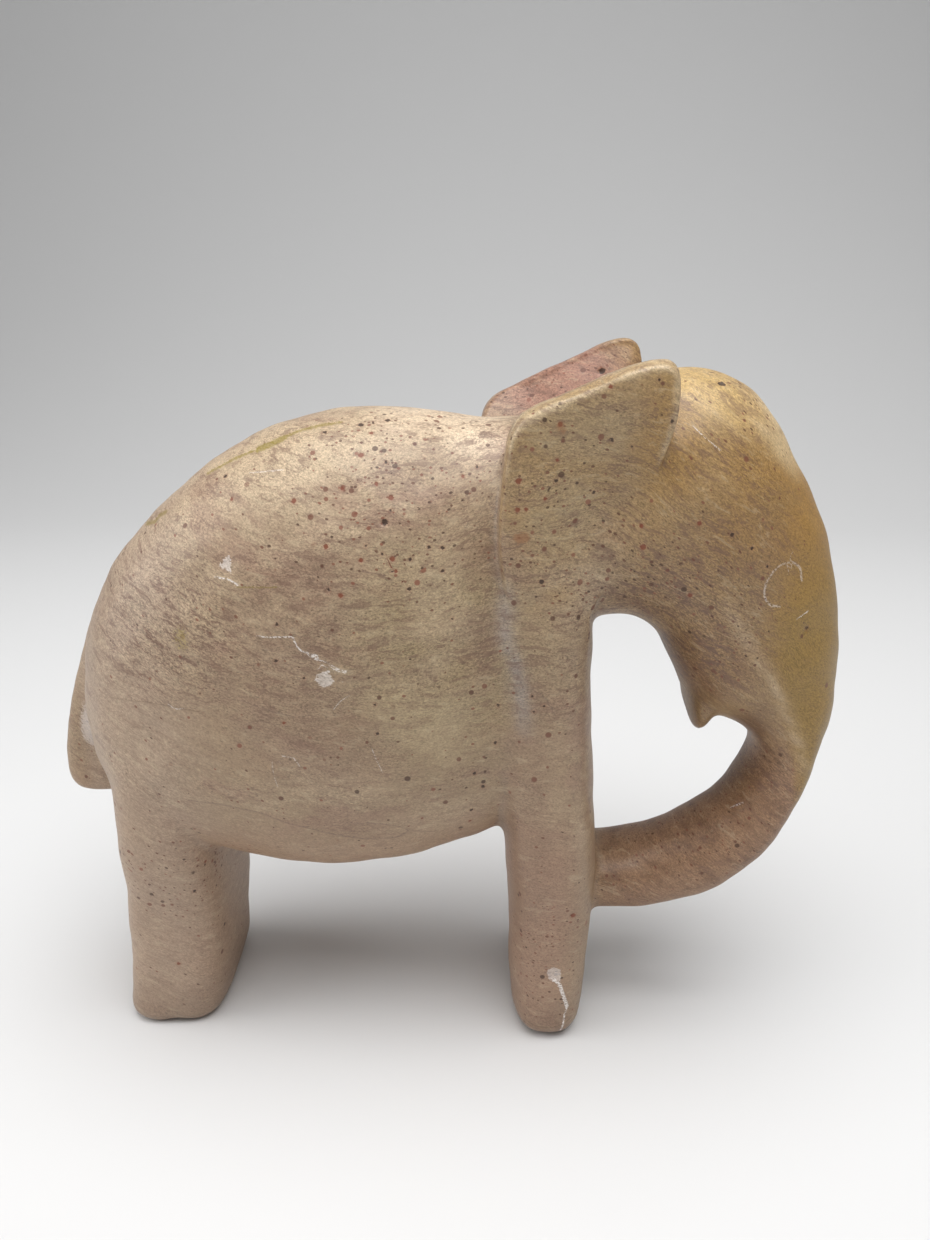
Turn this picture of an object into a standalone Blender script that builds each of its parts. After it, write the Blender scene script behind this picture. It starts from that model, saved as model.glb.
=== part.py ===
"""A stone elephant figurine, carved from one block: a rounded body on two broad leg blocks, ears that
stand up from the neck, a short flared tail, and a trunk that curls back to the front legs and leaves a
heart-shaped gap. Metres, +X towards the head, +Z up, origin on the ground under the middle.

The carving is worked out as overlapping rounded shapes, which are fused into one skin and relaxed, as a
file and sandpaper round the inner corners. The ears are added afterwards, so that their rims stay crisp."""

import bmesh
import bpy
import numpy as np

# Driving dimensions, in metres.
LENGTH = 0.170  # from the back of the tail to the forehead
HEIGHT = 0.151  # from the ground to the tips of the ears
BODY_WIDTH = 0.060  # across the belly
HEAD_WIDTH = 0.047  # across the cheeks, under the ears
REAR_LEGS_WIDTH = 0.037  # across the rear leg block, at the foot
FRONT_LEGS_WIDTH = 0.042  # across the front leg block, at the foot
EAR_SPAN = 0.054  # from one ear tip to the other
EAR_THICKNESS = 0.0055
EAR_RADIUS = 0.025  # from each ear's middle to its rim, about
EAR_ROOT = 1.6  # how many times its thickness each ear adds at its root in the neck
EAR_BEVEL = 0.0014  # across the cut along each ear's rim
EAR_TOP_BEVEL = 0.8  # how many times itself that cut adds along the top rim
EAR_SINK = 0.0055  # how far each ear's outer face sinks in towards the cheek
EAR_LOW_SINK = 0.0024  # and towards its lower end
EAR_INSET = 0.0006  # how much smaller all round the first, relaxed ears are
RIM_SINK = 0.0070  # the sink of the crisp ears that are added last, which leaves only their rims showing
LEFT_EAR_REACH = 0.0055  # how much farther back the left ear's rear rim lies
TAIL_THICKNESS = 0.009
REAR_FOOT_ROUNDING = 0.0032  # radius round the edge of the rear foot
FRONT_FOOT_ROUNDING = 0.0050  # and round the front foot, which is more rounded
SPARE = 0.006  # stone below the ground line, sawn off flat at the end

# How finely the skin is worked.
BLOCK_VOXEL = 0.0011
BLOCK_RELAX = 7  # smoothing rounds
SKIN_VOXEL = 0.0008
SKIN_RELAX = 2  # smoothing rounds
SKIN_TRIANGLES = 9900
SIDES = 48  # points round each section
TORSO_SECTIONS = 40
LEG_SECTIONS = 40
HEAD_SECTIONS = 90
TAIL_SECTIONS = 20

# The carving's outlines. Along-the-body numbers are shares of LENGTH from the middle, heights are shares of
# HEIGHT, and widths are shares of the driving width of that part.

# Torso stations: along, top of the back, belly line, width.
TORSO = (
    (-0.452, 0.530, 0.490, 0.05),
    (-0.442, 0.602, 0.430, 0.32),
    (-0.411, 0.685, 0.355, 0.60),
    (-0.353, 0.774, 0.298, 0.82),
    (-0.265, 0.856, 0.284, 0.93),
    (-0.165, 0.909, 0.264, 1.00),
    (-0.059, 0.924, 0.273, 0.98),
    (0.029, 0.912, 0.301, 0.90),
    (0.095, 0.912, 0.338, 0.82),
    (0.145, 0.916, 0.400, 0.77),
    (0.180, 0.922, 0.480, 0.70),
)
TORSO_WAIST = 0.42  # share of the torso's height where it is widest
TORSO_FULLNESS = 2.5

# Rear leg block stations: height, back edge, front edge, width, fullness. The upper ones are the buttocks.
REAR_LEGS = (
    (0.00, -0.4310, -0.2970, 1.00, 4.0),
    (0.12, -0.4215, -0.2880, 1.02, 4.0),
    (0.22, -0.4160, -0.2830, 1.11, 3.6),
    (0.33, -0.4150, -0.2800, 1.30, 3.0),
    (0.45, -0.4150, -0.2700, 1.33, 2.6),
    (0.56, -0.4080, -0.2500, 1.16, 2.3),
    (0.66, -0.3820, -0.2400, 0.86, 2.1),
)
# Front leg block stations, the same. The upper ones are the shoulders.
FRONT_LEGS = (
    (0.00, 0.0980, 0.1985, 0.99, 3.0),
    (0.10, 0.0960, 0.2020, 1.01, 2.9),
    (0.20, 0.0930, 0.2060, 1.06, 3.0),
    (0.33, 0.0840, 0.2050, 1.18, 3.2),
    (0.46, 0.0700, 0.1960, 1.21, 3.4),
    (0.58, 0.0600, 0.1900, 1.23, 3.6),
    (0.68, 0.0500, 0.1870, 1.23, 3.6),
    (0.76, 0.0500, 0.1820, 1.14, 3.2),
)

# Head and trunk stations: inner edge (along, height), outer edge (along, height), width, where the side is
# widest as a share from inner to outer edge, and how full the outer side is.
HEAD = (
    (0.120, 0.630, 0.125, 0.880, 0.80, 0.50, 2.6),
    (0.186, 0.641, 0.200, 0.930, 0.94, 0.48, 2.6),
    (0.232, 0.648, 0.288, 0.976, 0.98, 0.45, 2.4),
    (0.268, 0.626, 0.364, 0.949, 0.94, 0.42, 2.2),
    (0.287, 0.588, 0.417, 0.870, 0.87, 0.38, 2.0),
    (0.304, 0.551, 0.461, 0.785, 0.79, 0.38, 1.8),
    (0.321, 0.514, 0.486, 0.702, 0.72, 0.43, 1.7),
    (0.346, 0.500, 0.499, 0.620, 0.65, 0.50, 1.7),
    (0.374, 0.487, 0.503, 0.545, 0.59, 0.58, 1.7),
    (0.398, 0.467, 0.492, 0.461, 0.54, 0.66, 1.8),
    (0.406, 0.433, 0.474, 0.384, 0.50, 0.66, 1.9),
    (0.395, 0.390, 0.457, 0.323, 0.48, 0.62, 2.0),
    (0.362, 0.348, 0.419, 0.245, 0.46, 0.58, 2.1),
    (0.320, 0.313, 0.367, 0.204, 0.46, 0.52, 2.2),
    (0.271, 0.286, 0.307, 0.178, 0.46, 0.50, 2.2),
    (0.224, 0.274, 0.247, 0.173, 0.46, 0.50, 2.2),
    (0.165, 0.268, 0.175, 0.170, 0.45, 0.50, 2.2),
)
HEAD_FULLNESS = 2.1  # of the inner side

# The lower lip's outline: along, height.
LIP = (
    (0.304, 0.600),
    (0.306, 0.562),
    (0.315, 0.520),
    (0.323, 0.482),
    (0.332, 0.468),
    (0.343, 0.480),
    (0.354, 0.515),
    (0.352, 0.590),
)
LIP_SHARE = 0.42  # of the head's width
LIP_TAPER = 0.5  # how much smaller its outline is at its two sides than on the middle plane

# Tail stations: height, back edge, width.
TAIL = (
    (0.353, -0.4840, 0.95),
    (0.374, -0.4990, 1.00),
    (0.400, -0.5010, 1.00),
    (0.450, -0.4950, 1.00),
    (0.510, -0.4800, 0.95),
    (0.570, -0.4620, 0.85),
    (0.640, -0.4380, 0.75),
    (0.700, -0.4080, 0.60),
)
TAIL_ROOT = -0.400  # along, inside the rump
TAIL_FULLNESS = 3.0

# Ear rim: along, height, clockwise as seen from the elephant's right. The rear and top rims stand proud of
# the neck. The front and lower rims sink into the cheek, so the ear fades out there.
EAR_RIM = (
    (0.095, 0.936),
    (0.079, 0.870),
    (0.075, 0.800),
    (0.080, 0.735),
    (0.096, 0.665),
    (0.120, 0.595),
    (0.148, 0.580),
    (0.170, 0.640),
    (0.205, 0.740),
    (0.237, 0.840),
    (0.256, 0.925),
    (0.260, 0.970),
    (0.250, 0.999),
    (0.222, 0.999),
    (0.180, 0.981),
    (0.125, 0.955),
)
EAR_MIDDLE = (0.165, 0.80)  # along, height: where the rim's loops shrink to
# The loops of an ear, from the middle of its inner face over the rim's cut to the middle of its outer face:
# each as a share of the way out to the rim, then how many cuts and how many thicknesses it lies under the
# outer face.
EAR_LOOPS = (
    (0.50, 0.0, 1.0),
    (0.97, 0.0, 1.0),
    (1.00, 0.5, 0.8),
    (1.00, 1.0, 0.0),
) + tuple((share, 0.0, 0.0) for share in np.linspace(0.965, 0.05, 14))
# Where an ear changes, as a start and an end. Heights: free of the neck, the top rim, the lower end. Along:
# where the outer face sinks in, and where the left ear's reach fades out.
EAR_FREE = (0.87, 0.94)
EAR_TOP = (0.80, 0.97)
EAR_LOW = (0.55, 0.85)
EAR_FRONT = (0.09, 0.24)
EAR_REAR = (0.09, 0.25)
REACH_AT_FRONT = 0.2  # the share of its reach that the left ear keeps at its front
REACH_DROP = 0.55  # how far its rear rim drops, as a share of its reach


def spline(rows, count):
    """Count rows read evenly off a natural cubic spline through the given rows. The parameter is the
    distance over the first four columns, the ones that place the shape."""
    rows = np.array(rows, float)
    gaps = np.linalg.norm(np.diff(rows[:, :4], axis=0), axis=1)[:, None]
    last = len(rows) - 1
    system = np.eye(len(rows))
    right = np.zeros_like(rows)
    for i in range(1, last):
        before, after = gaps[i - 1, 0], gaps[i, 0]
        system[i, i - 1 : i + 2] = before, 2 * (before + after), after
        right[i] = 6 * ((rows[i + 1] - rows[i]) / after - (rows[i] - rows[i - 1]) / before)
    bend = np.linalg.solve(system, right)
    knots = np.concatenate([[0], np.cumsum(gaps[:, 0])])
    at = np.linspace(0, knots[-1], count)
    k = np.clip(np.searchsorted(knots, at, side="right") - 1, 0, last - 1)
    gap = gaps[k]
    left, ahead = (knots[k + 1] - at)[:, None], (at - knots[k])[:, None]
    cubic = (bend[k] * left**3 + bend[k + 1] * ahead**3) / (6 * gap)
    from_left = rows[k] / gap - bend[k] * gap / 6
    from_ahead = rows[k + 1] / gap - bend[k + 1] * gap / 6
    return cubic + from_left * left + from_ahead * ahead


def closed_spline(rows, count):
    """The same through a closed loop of rows: the loop is run three times, and its middle round is kept."""
    rows = list(rows)
    around = spline(rows + rows + rows + rows[:1], 3 * count + 1)
    return around[count : 2 * count]


def superellipse(fullness, sides=SIDES):
    """Points (across, up) round a superellipse of half-size 1: 2 is an ellipse, and more is boxier."""
    angle = 2 * np.pi * (np.arange(sides) + 0.5) / sides
    c, s = np.cos(angle), np.sin(angle)
    return np.sign(c) * abs(c) ** (2 / fullness), np.sign(s) * abs(s) ** (2 / fullness)


def lofted(rings):
    """A closed mesh through the rings of points, capped at both ends."""
    bm = bmesh.new()
    rows = [[bm.verts.new(point) for point in ring] for ring in rings]
    sides = len(rows[0])
    for low, high in zip(rows, rows[1:]):
        for i in range(sides):
            j = (i + 1) % sides
            bm.faces.new((low[i], low[j], high[j], high[i]))
    bm.faces.new(rows[0][::-1])
    bm.faces.new(rows[-1])
    bmesh.ops.recalc_face_normals(bm, faces=bm.faces)
    mesh = bpy.data.meshes.new("loft")
    bm.to_mesh(mesh)
    bm.free()
    return mesh


def torso():
    """The egg-shaped body: upright superellipses from the rump to inside the head."""
    rings = []
    for along, top, belly, width in spline(TORSO, TORSO_SECTIONS):
        across, up = superellipse(TORSO_FULLNESS)
        waist = belly + TORSO_WAIST * (top - belly)
        height = waist + np.where(up > 0, top - waist, waist - belly) * up
        y = across * width * BODY_WIDTH / 2
        rings.append(np.column_stack([np.full(SIDES, along * LENGTH), y, height * HEIGHT]))
    return lofted(rings)


def leg_block(stations, width, rounding):
    """Both legs of a pair, left joined as one broad block: level superellipses from the foot upwards. The
    foot's edge is rounded by a quarter circle, and the block runs on below the ground."""
    levels = spline(stations, LEG_SECTIONS)
    foot = levels[0]
    cuts = [(-SPARE, rounding, foot)]
    for angle in np.linspace(np.pi / 2, 0, 6):
        cuts.append((rounding * (1 - np.sin(angle)), rounding * (1 - np.cos(angle)), foot))
    cuts += [(level[0] * HEIGHT, 0.0, level) for level in levels if level[0] * HEIGHT > rounding]
    rings = []
    for height, inset, (_, back, front, share, fullness) in cuts:
        across, along = superellipse(fullness)
        x = (front + back) / 2 * LENGTH + along * ((front - back) / 2 * LENGTH - inset)
        y = across * (share * width / 2 - inset)
        rings.append(np.column_stack([x, y, np.full(SIDES, height)]))
    return lofted(rings)


def head_and_trunk():
    """The head and the trunk as one comma: superellipses that fan round from the neck, over the forehead and
    down the trunk to its tip in the front legs. The side is widest on a soft ridge, which nears the trunk's
    front edge on its way down."""
    rings = []
    for in_along, in_height, out_along, out_height, width, ridge, fullness in spline(HEAD, HEAD_SECTIONS):
        inner = np.array([in_along * LENGTH, in_height * HEIGHT])
        outer = np.array([out_along * LENGTH, out_height * HEIGHT])
        across_in, up_in = superellipse(HEAD_FULLNESS)
        across_out, up_out = superellipse(fullness)
        out_side = up_out > 0
        share = np.where(out_side, ridge + (1 - ridge) * up_out, ridge + ridge * up_in)
        y = np.where(out_side, across_out, across_in) * width * HEAD_WIDTH / 2
        points = inner + share[:, None] * (outer - inner)
        rings.append(np.column_stack([points[:, 0], y, points[:, 1]]))
    return lofted(rings)


def lip():
    """The lower lip: a small wedge under the trunk's root, which gives the gap its heart shape."""
    outline = closed_spline(LIP, 40)
    middle = outline.mean(axis=0)
    rings = []
    for turn in np.linspace(-1, 1, 9):
        points = middle + (1 - LIP_TAPER * abs(turn) ** 3) * (outline - middle)
        y = np.full(len(points), turn * LIP_SHARE * HEAD_WIDTH / 2)
        rings.append(np.column_stack([points[:, 0] * LENGTH, y, points[:, 1] * HEIGHT]))
    return lofted(rings)


def tail():
    """The tail: a fin on the rump's middle line that flares backwards towards its lower end."""
    rings = []
    for height, back, share in spline(TAIL, TAIL_SECTIONS):
        across, along = superellipse(TAIL_FULLNESS)
        middle, half = (back + TAIL_ROOT) * LENGTH / 2, (TAIL_ROOT - back) * LENGTH / 2
        y = across * share * TAIL_THICKNESS / 2
        rings.append(np.column_stack([middle + along * half, y, np.full(SIDES, height * HEIGHT)]))
    return lofted(rings)


def eased(value, start, end):
    """0 up to start, 1 from end on, and a smooth step between."""
    share = np.clip((value - start) / (end - start), 0, 1)
    return share * share * (3 - 2 * share)


def ear(side, reach, sink, inset):
    """One ear, on the side -1 or 1: a thick leaf that stands proud of the neck along its rear and top rims.
    Its outer face sinks into the cheek towards the front, and a little towards its lower end. The rear rim
    reaches back by the given length, and drops as it does. The leaf is as much smaller all round as the inset
    says."""
    rim = closed_spline(EAR_RIM, 2 * SIDES)
    rear = 1 - eased(rim[:, 0], *EAR_REAR)
    rim[:, 0] -= (REACH_AT_FRONT + (1 - REACH_AT_FRONT) * rear) * reach / LENGTH
    rim[:, 1] -= REACH_DROP * rear * reach / HEIGHT
    rim = EAR_MIDDLE + (1 - inset / EAR_RADIUS) * (rim - EAR_MIDDLE)
    rings = []
    for share, bevels, thicknesses in EAR_LOOPS:
        x, z = (EAR_MIDDLE + share * (rim - EAR_MIDDLE)).T
        free = eased(z, *EAR_FREE)
        top = eased(z, *EAR_TOP)
        front = eased(x, *EAR_FRONT) * (1 - top)
        low = 1 - eased(z, *EAR_LOW)
        thickness = (EAR_THICKNESS - 2 * inset) * (1 + EAR_ROOT * (1 - free))
        depth = inset + bevels * EAR_BEVEL * (1 + EAR_TOP_BEVEL * top) + thicknesses * thickness
        face = EAR_SPAN / 2 - sink * front - EAR_LOW_SINK * low - depth
        rings.append(np.column_stack([x * LENGTH, side * face, z * HEIGHT]))
    return lofted(rings)


def skin(name, meshes, voxel, relax):
    """One closed skin round overlapping closed meshes, remeshed by voxels and relaxed."""
    bm = bmesh.new()
    for mesh in meshes:
        bm.from_mesh(mesh)
    joined = bpy.data.meshes.new(name)
    bm.to_mesh(joined)
    bm.free()
    made = bpy.data.objects.new(name, joined)
    bpy.context.scene.collection.objects.link(made)
    remesh = made.modifiers.new("Fuse", "REMESH")
    remesh.mode = "VOXEL"
    remesh.voxel_size = voxel
    smooth = made.modifiers.new("Relax", "SMOOTH")
    smooth.factor = 0.5
    smooth.iterations = round(relax)
    return made


def applied(made):
    """The mesh of an object as its modifiers leave it. The object is removed."""
    graph = bpy.context.evaluated_depsgraph_get()
    mesh = bpy.data.meshes.new_from_object(made.evaluated_get(graph))
    bpy.data.objects.remove(made)
    return mesh


def sawn_flat(mesh):
    """The mesh cut off level with the ground, so that the feet stand flat."""
    bm = bmesh.new()
    bm.from_mesh(mesh)
    everything = bm.verts[:] + bm.edges[:] + bm.faces[:]
    cut = bmesh.ops.bisect_plane(
        bm, geom=everything, plane_co=(0, 0, 0), plane_no=(0, 0, -1), clear_outer=True
    )
    rims = [part for part in cut["geom_cut"] if isinstance(part, bmesh.types.BMEdge)]
    bmesh.ops.edgeloop_fill(bm, edges=rims)
    bmesh.ops.recalc_face_normals(bm, faces=bm.faces)
    bm.to_mesh(mesh)
    bm.free()
    return mesh


def fitted(mesh):
    """The mesh brought back to the carving's full length, width and height, which relaxing took a little
    off, and centred over the origin."""
    corners = np.empty(3 * len(mesh.vertices))
    mesh.vertices.foreach_get("co", corners)
    corners = corners.reshape(-1, 3)
    low, high = corners.min(axis=0), corners.max(axis=0)
    middle = np.array([(low[0] + high[0]) / 2, (low[1] + high[1]) / 2, 0.0])
    size = np.array([LENGTH, BODY_WIDTH, HEIGHT])
    corners = (corners - middle) * size / (high - low)
    mesh.vertices.foreach_set("co", corners.ravel())
    mesh.update()
    return mesh


def stone():
    """The stone's material: a satin, creamy buff soapstone."""
    made = bpy.data.materials.new("stone")
    made.use_nodes = True
    shader = made.node_tree.nodes["Principled BSDF"]
    shader.inputs["Base Color"].default_value = (0.50, 0.38, 0.26, 1)
    shader.inputs["Roughness"].default_value = 0.45
    shader.inputs["Metallic"].default_value = 0.0
    return made


def main():
    for old in list(bpy.data.objects):
        bpy.data.objects.remove(old)
    block = applied(
        skin(
            "block",
            [
                torso(),
                leg_block(REAR_LEGS, REAR_LEGS_WIDTH, REAR_FOOT_ROUNDING),
                leg_block(FRONT_LEGS, FRONT_LEGS_WIDTH, FRONT_FOOT_ROUNDING),
                head_and_trunk(),
                lip(),
                tail(),
                ear(-1, 0.0, EAR_SINK, EAR_INSET),
                ear(1, LEFT_EAR_REACH, EAR_SINK, EAR_INSET),
            ],
            BLOCK_VOXEL,
            BLOCK_RELAX,
        )
    )
    crisp = [ear(-1, 0.0, RIM_SINK, 0.0), ear(1, LEFT_EAR_REACH, RIM_SINK, 0.0)]
    carved = skin("elephant", [block, *crisp], SKIN_VOXEL, SKIN_RELAX)
    mesh = applied(carved)
    elephant = bpy.data.objects.new("elephant", mesh)
    bpy.context.scene.collection.objects.link(elephant)
    mesh.calc_loop_triangles()
    thin = elephant.modifiers.new("Thin", "DECIMATE")
    thin.ratio = SKIN_TRIANGLES / len(mesh.loop_triangles)
    mesh = fitted(sawn_flat(applied(elephant)))
    elephant = bpy.data.objects.new("elephant", mesh)
    bpy.context.scene.collection.objects.link(elephant)
    mesh.shade_smooth()
    mesh.materials.clear()
    mesh.materials.append(stone())


main()
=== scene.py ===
# %% [markdown]
# # A soapstone elephant
# One block of soft stone, sawn, filed round, sanded and waxed: a heavy body on two broad leg blocks, two
# standing ears, a short tail, and a trunk that curls back to the front legs round a heart-shaped gap. The
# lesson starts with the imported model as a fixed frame. It says how long, wide and high the stone is, and the
# finer stone that is made here has to fill the same box, so its corners are kept for a comparison at the end.

# %% The frame and its box
import math

import bpy
import numpy as np
from mathutils import Matrix, Vector


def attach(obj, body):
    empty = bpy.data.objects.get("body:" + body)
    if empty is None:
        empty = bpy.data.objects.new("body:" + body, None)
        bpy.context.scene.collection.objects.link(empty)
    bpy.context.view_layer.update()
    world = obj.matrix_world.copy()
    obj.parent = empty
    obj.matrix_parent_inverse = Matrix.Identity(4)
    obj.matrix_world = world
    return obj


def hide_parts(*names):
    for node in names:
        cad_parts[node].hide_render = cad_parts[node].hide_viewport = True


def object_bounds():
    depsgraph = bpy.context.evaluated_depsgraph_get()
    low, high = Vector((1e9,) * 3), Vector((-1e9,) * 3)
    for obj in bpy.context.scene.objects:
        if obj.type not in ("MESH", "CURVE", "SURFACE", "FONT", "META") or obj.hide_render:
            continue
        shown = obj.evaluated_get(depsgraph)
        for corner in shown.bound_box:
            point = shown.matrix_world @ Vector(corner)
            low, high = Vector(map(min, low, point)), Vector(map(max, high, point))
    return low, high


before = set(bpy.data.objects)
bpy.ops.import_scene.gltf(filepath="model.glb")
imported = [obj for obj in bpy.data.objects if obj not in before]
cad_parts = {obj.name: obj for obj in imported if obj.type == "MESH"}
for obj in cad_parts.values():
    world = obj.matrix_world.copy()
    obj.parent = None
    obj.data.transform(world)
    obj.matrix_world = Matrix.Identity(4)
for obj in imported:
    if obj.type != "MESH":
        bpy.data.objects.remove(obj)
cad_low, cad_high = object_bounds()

LENGTH, WIDTH, HEIGHT = cad_high - cad_low
print("frame box, mm:", [round(1000 * side, 1) for side in (LENGTH, WIDTH, HEIGHT)])

# %% [markdown]
# ## How a rounded stone form is written down
# A carver rounds a squared block, so the cross-sections are neither ellipses nor rectangles. A superellipse
# covers everything in between with one number, its fullness. The forms here are stacks of such sections,
# placed by a few stations that a smooth curve joins. That keeps the shape readable: a station is one row of a
# table.

# %% A smooth curve through stations
def spline(rows, count):
    """Rows read evenly off a natural cubic spline. The bends at the stations solve a three-diagonal system
    that makes the slopes meet, and each gap is a cubic of the distances to its two ends. The parameter is the
    distance over the first four columns, the ones that place the shape."""
    rows = np.array(rows, float)
    gap = np.linalg.norm(np.diff(rows[:, :4], axis=0), axis=1)
    slope = np.diff(rows, axis=0) / gap[:, None]
    inner = np.arange(1, len(rows) - 1)
    system = np.eye(len(rows))
    system[inner, inner - 1] = gap[:-1]
    system[inner, inner] = 2 * (gap[:-1] + gap[1:])
    system[inner, inner + 1] = gap[1:]
    right = np.zeros_like(rows)
    right[inner] = 6 * np.diff(slope, axis=0)
    bend = np.linalg.solve(system, right)
    knots = np.concatenate([[0], np.cumsum(gap)])
    at = np.linspace(0, knots[-1], count)
    k = np.clip(np.searchsorted(knots, at, side="right") - 1, 0, len(rows) - 2)
    h = gap[k][:, None]
    left, ahead = (knots[k + 1] - at)[:, None], (at - knots[k])[:, None]
    cubic = (bend[k] * left**3 + bend[k + 1] * ahead**3) / (6 * h)
    return cubic + (rows[k] / h - bend[k] * h / 6) * left + (rows[k + 1] / h - bend[k + 1] * h / 6) * ahead


def closed_spline(rows, count):
    """The same round a loop: the loop is run three times, and its middle round is kept."""
    rows = list(rows)
    return spline(rows * 3 + rows[:1], 3 * count + 1)[count : 2 * count]


# %% A section between an ellipse and a rectangle
SIDES = 72


def superellipse(fullness):
    """Across and up for each of the section's turns: the cosine and the sine of the turn, each raised to 2 /
    fullness with its sign kept. 2 gives an ellipse, and more a boxier section."""
    turn = 2 * np.pi * (np.arange(SIDES) + 0.5) / SIDES
    c, s = np.cos(turn), np.sin(turn)
    return np.sign(c) * abs(c) ** (2 / fullness), np.sign(s) * abs(s) ** (2 / fullness)


def eased(value, start, end):
    """0 up to start, 1 from end on, and the smooth step 3s^2 - 2s^3 of the share s between."""
    share = np.clip((value - start) / (end - start), 0, 1)
    return share * share * (3 - 2 * share)


# %% From a grid of points to a closed mesh
def shell(name, x, y, z):
    """A closed mesh over the grid (section, turn): each point is joined to the next turn and the next section
    by a four-sided face, every section closes on itself, and one many-sided face caps each end."""
    points = np.stack(np.broadcast_arrays(x, y, z), axis=-1)
    count = points.shape[0] * points.shape[1]
    index = np.arange(count).reshape(points.shape[:2])
    turned = np.roll(index, -1, axis=1)
    quads = np.stack([index[:-1], turned[:-1], turned[1:], index[1:]], axis=-1).reshape(-1, 4)
    faces = quads.tolist() + [index[0, ::-1].tolist(), index[-1].tolist()]
    mesh = bpy.data.meshes.new(name)
    mesh.from_pydata(points.reshape(-1, 3).tolist(), [], faces)
    return mesh


# %% [markdown]
# ## The body
# The body is an egg that hangs between the leg blocks, widest a little under its middle. It is made as
# upright sections from the rump to inside the head. Along-the-body numbers are shares of the length from the
# middle, heights are shares of the height, and widths are shares of the belly's width.

# %% The body's stations and surface
TORSO = (
    (-0.452, 0.530, 0.490, 0.05),
    (-0.442, 0.602, 0.430, 0.32),
    (-0.411, 0.685, 0.355, 0.60),
    (-0.353, 0.774, 0.298, 0.82),
    (-0.265, 0.856, 0.284, 0.93),
    (-0.165, 0.909, 0.264, 1.00),
    (-0.059, 0.924, 0.273, 0.98),
    (0.029, 0.912, 0.301, 0.90),
    (0.095, 0.912, 0.338, 0.82),
    (0.145, 0.916, 0.400, 0.77),
    (0.180, 0.922, 0.480, 0.70),
)
TORSO_WAIST = 0.42
TORSO_FULLNESS = 2.5


def torso():
    """x follows the spline. y is half the width times the section's across. z is the waist plus the section's
    up times the distance from the waist to the back, or to the belly below it."""
    along, top, belly, width = spline(TORSO, count=70).T[:, :, None]
    across, up = superellipse(TORSO_FULLNESS)
    waist = belly + TORSO_WAIST * (top - belly)
    z = waist + np.where(up > 0, top - waist, waist - belly) * up
    return shell("torso", along * LENGTH, across * width * WIDTH / 2, z * HEIGHT)


# %% [markdown]
# ## The leg blocks
# The carver never parted the legs of a pair: each pair is one broad block, and its upper end swells into the
# buttocks or the shoulders. Level sections from the foot upwards follow that best. The foot's edge is rounded
# by a quarter circle, and the block runs on a little below the ground, where it is sawn off flat later.

# %% The leg blocks' stations and surface
SPARE = 0.006
FOOT_CLEAR = 1.3
REAR_WIDTH = 0.037
REAR_ROUNDING = 0.0032
FRONT_WIDTH = 0.042
FRONT_ROUNDING = 0.0050
REAR_LEGS = (
    (0.00, -0.4310, -0.2970, 1.00, 4.0),
    (0.12, -0.4215, -0.2880, 1.02, 4.0),
    (0.22, -0.4160, -0.2830, 1.11, 3.6),
    (0.33, -0.4150, -0.2800, 1.30, 3.0),
    (0.45, -0.4150, -0.2700, 1.33, 2.6),
    (0.56, -0.4080, -0.2500, 1.16, 2.3),
    (0.66, -0.3820, -0.2400, 0.86, 2.1),
)
FRONT_LEGS = (
    (0.00, 0.0980, 0.1985, 0.99, 3.0),
    (0.10, 0.0960, 0.2020, 1.01, 2.9),
    (0.20, 0.0930, 0.2060, 1.06, 3.0),
    (0.33, 0.0840, 0.2050, 1.18, 3.2),
    (0.46, 0.0700, 0.1960, 1.21, 3.4),
    (0.58, 0.0600, 0.1900, 1.23, 3.6),
    (0.68, 0.0500, 0.1870, 1.23, 3.6),
    (0.76, 0.0500, 0.1820, 1.14, 3.2),
)


def leg_block(name, stations, width, rounding):
    """z follows the spline. x is the middle between the back and front edges plus half their distance times
    the section's along, and y is half the width times its across. Near the ground both halves shrink by the
    rounding times 1 - cos of the quarter circle's angle, and the stations take over a little above it."""
    level = spline(stations, count=60)
    foot = level[:1]
    level = level[level[:, 0] * HEIGHT > FOOT_CLEAR * rounding]
    angle = np.linspace(np.pi / 2, 0, 9)
    rows = np.vstack([np.repeat(foot, len(angle) + 1, axis=0), level])
    height = np.concatenate([[-SPARE], rounding * (1 - np.sin(angle)), level[:, 0] * HEIGHT])[:, None]
    inset = np.concatenate([[rounding], rounding * (1 - np.cos(angle)), np.zeros(len(level))])[:, None]
    _, back, front, share, fullness = rows.T[:, :, None]
    across, along = superellipse(fullness)
    x = (front + back) / 2 * LENGTH + along * ((front - back) / 2 * LENGTH - inset)
    return shell(name, x, across * (share * width / 2 - inset), height)


# %% [markdown]
# ## Head and trunk
# Seen from the side the head and trunk are one comma. Its sections fan round from the neck over the forehead,
# run down the trunk and turn back into the front legs, each from a point on the inner edge to one on the
# outer edge. The side is widest on a soft ridge, which nears the trunk's front edge on its way down: that
# ridge divides the grained cheek from the smooth yellow front of the trunk.

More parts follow.
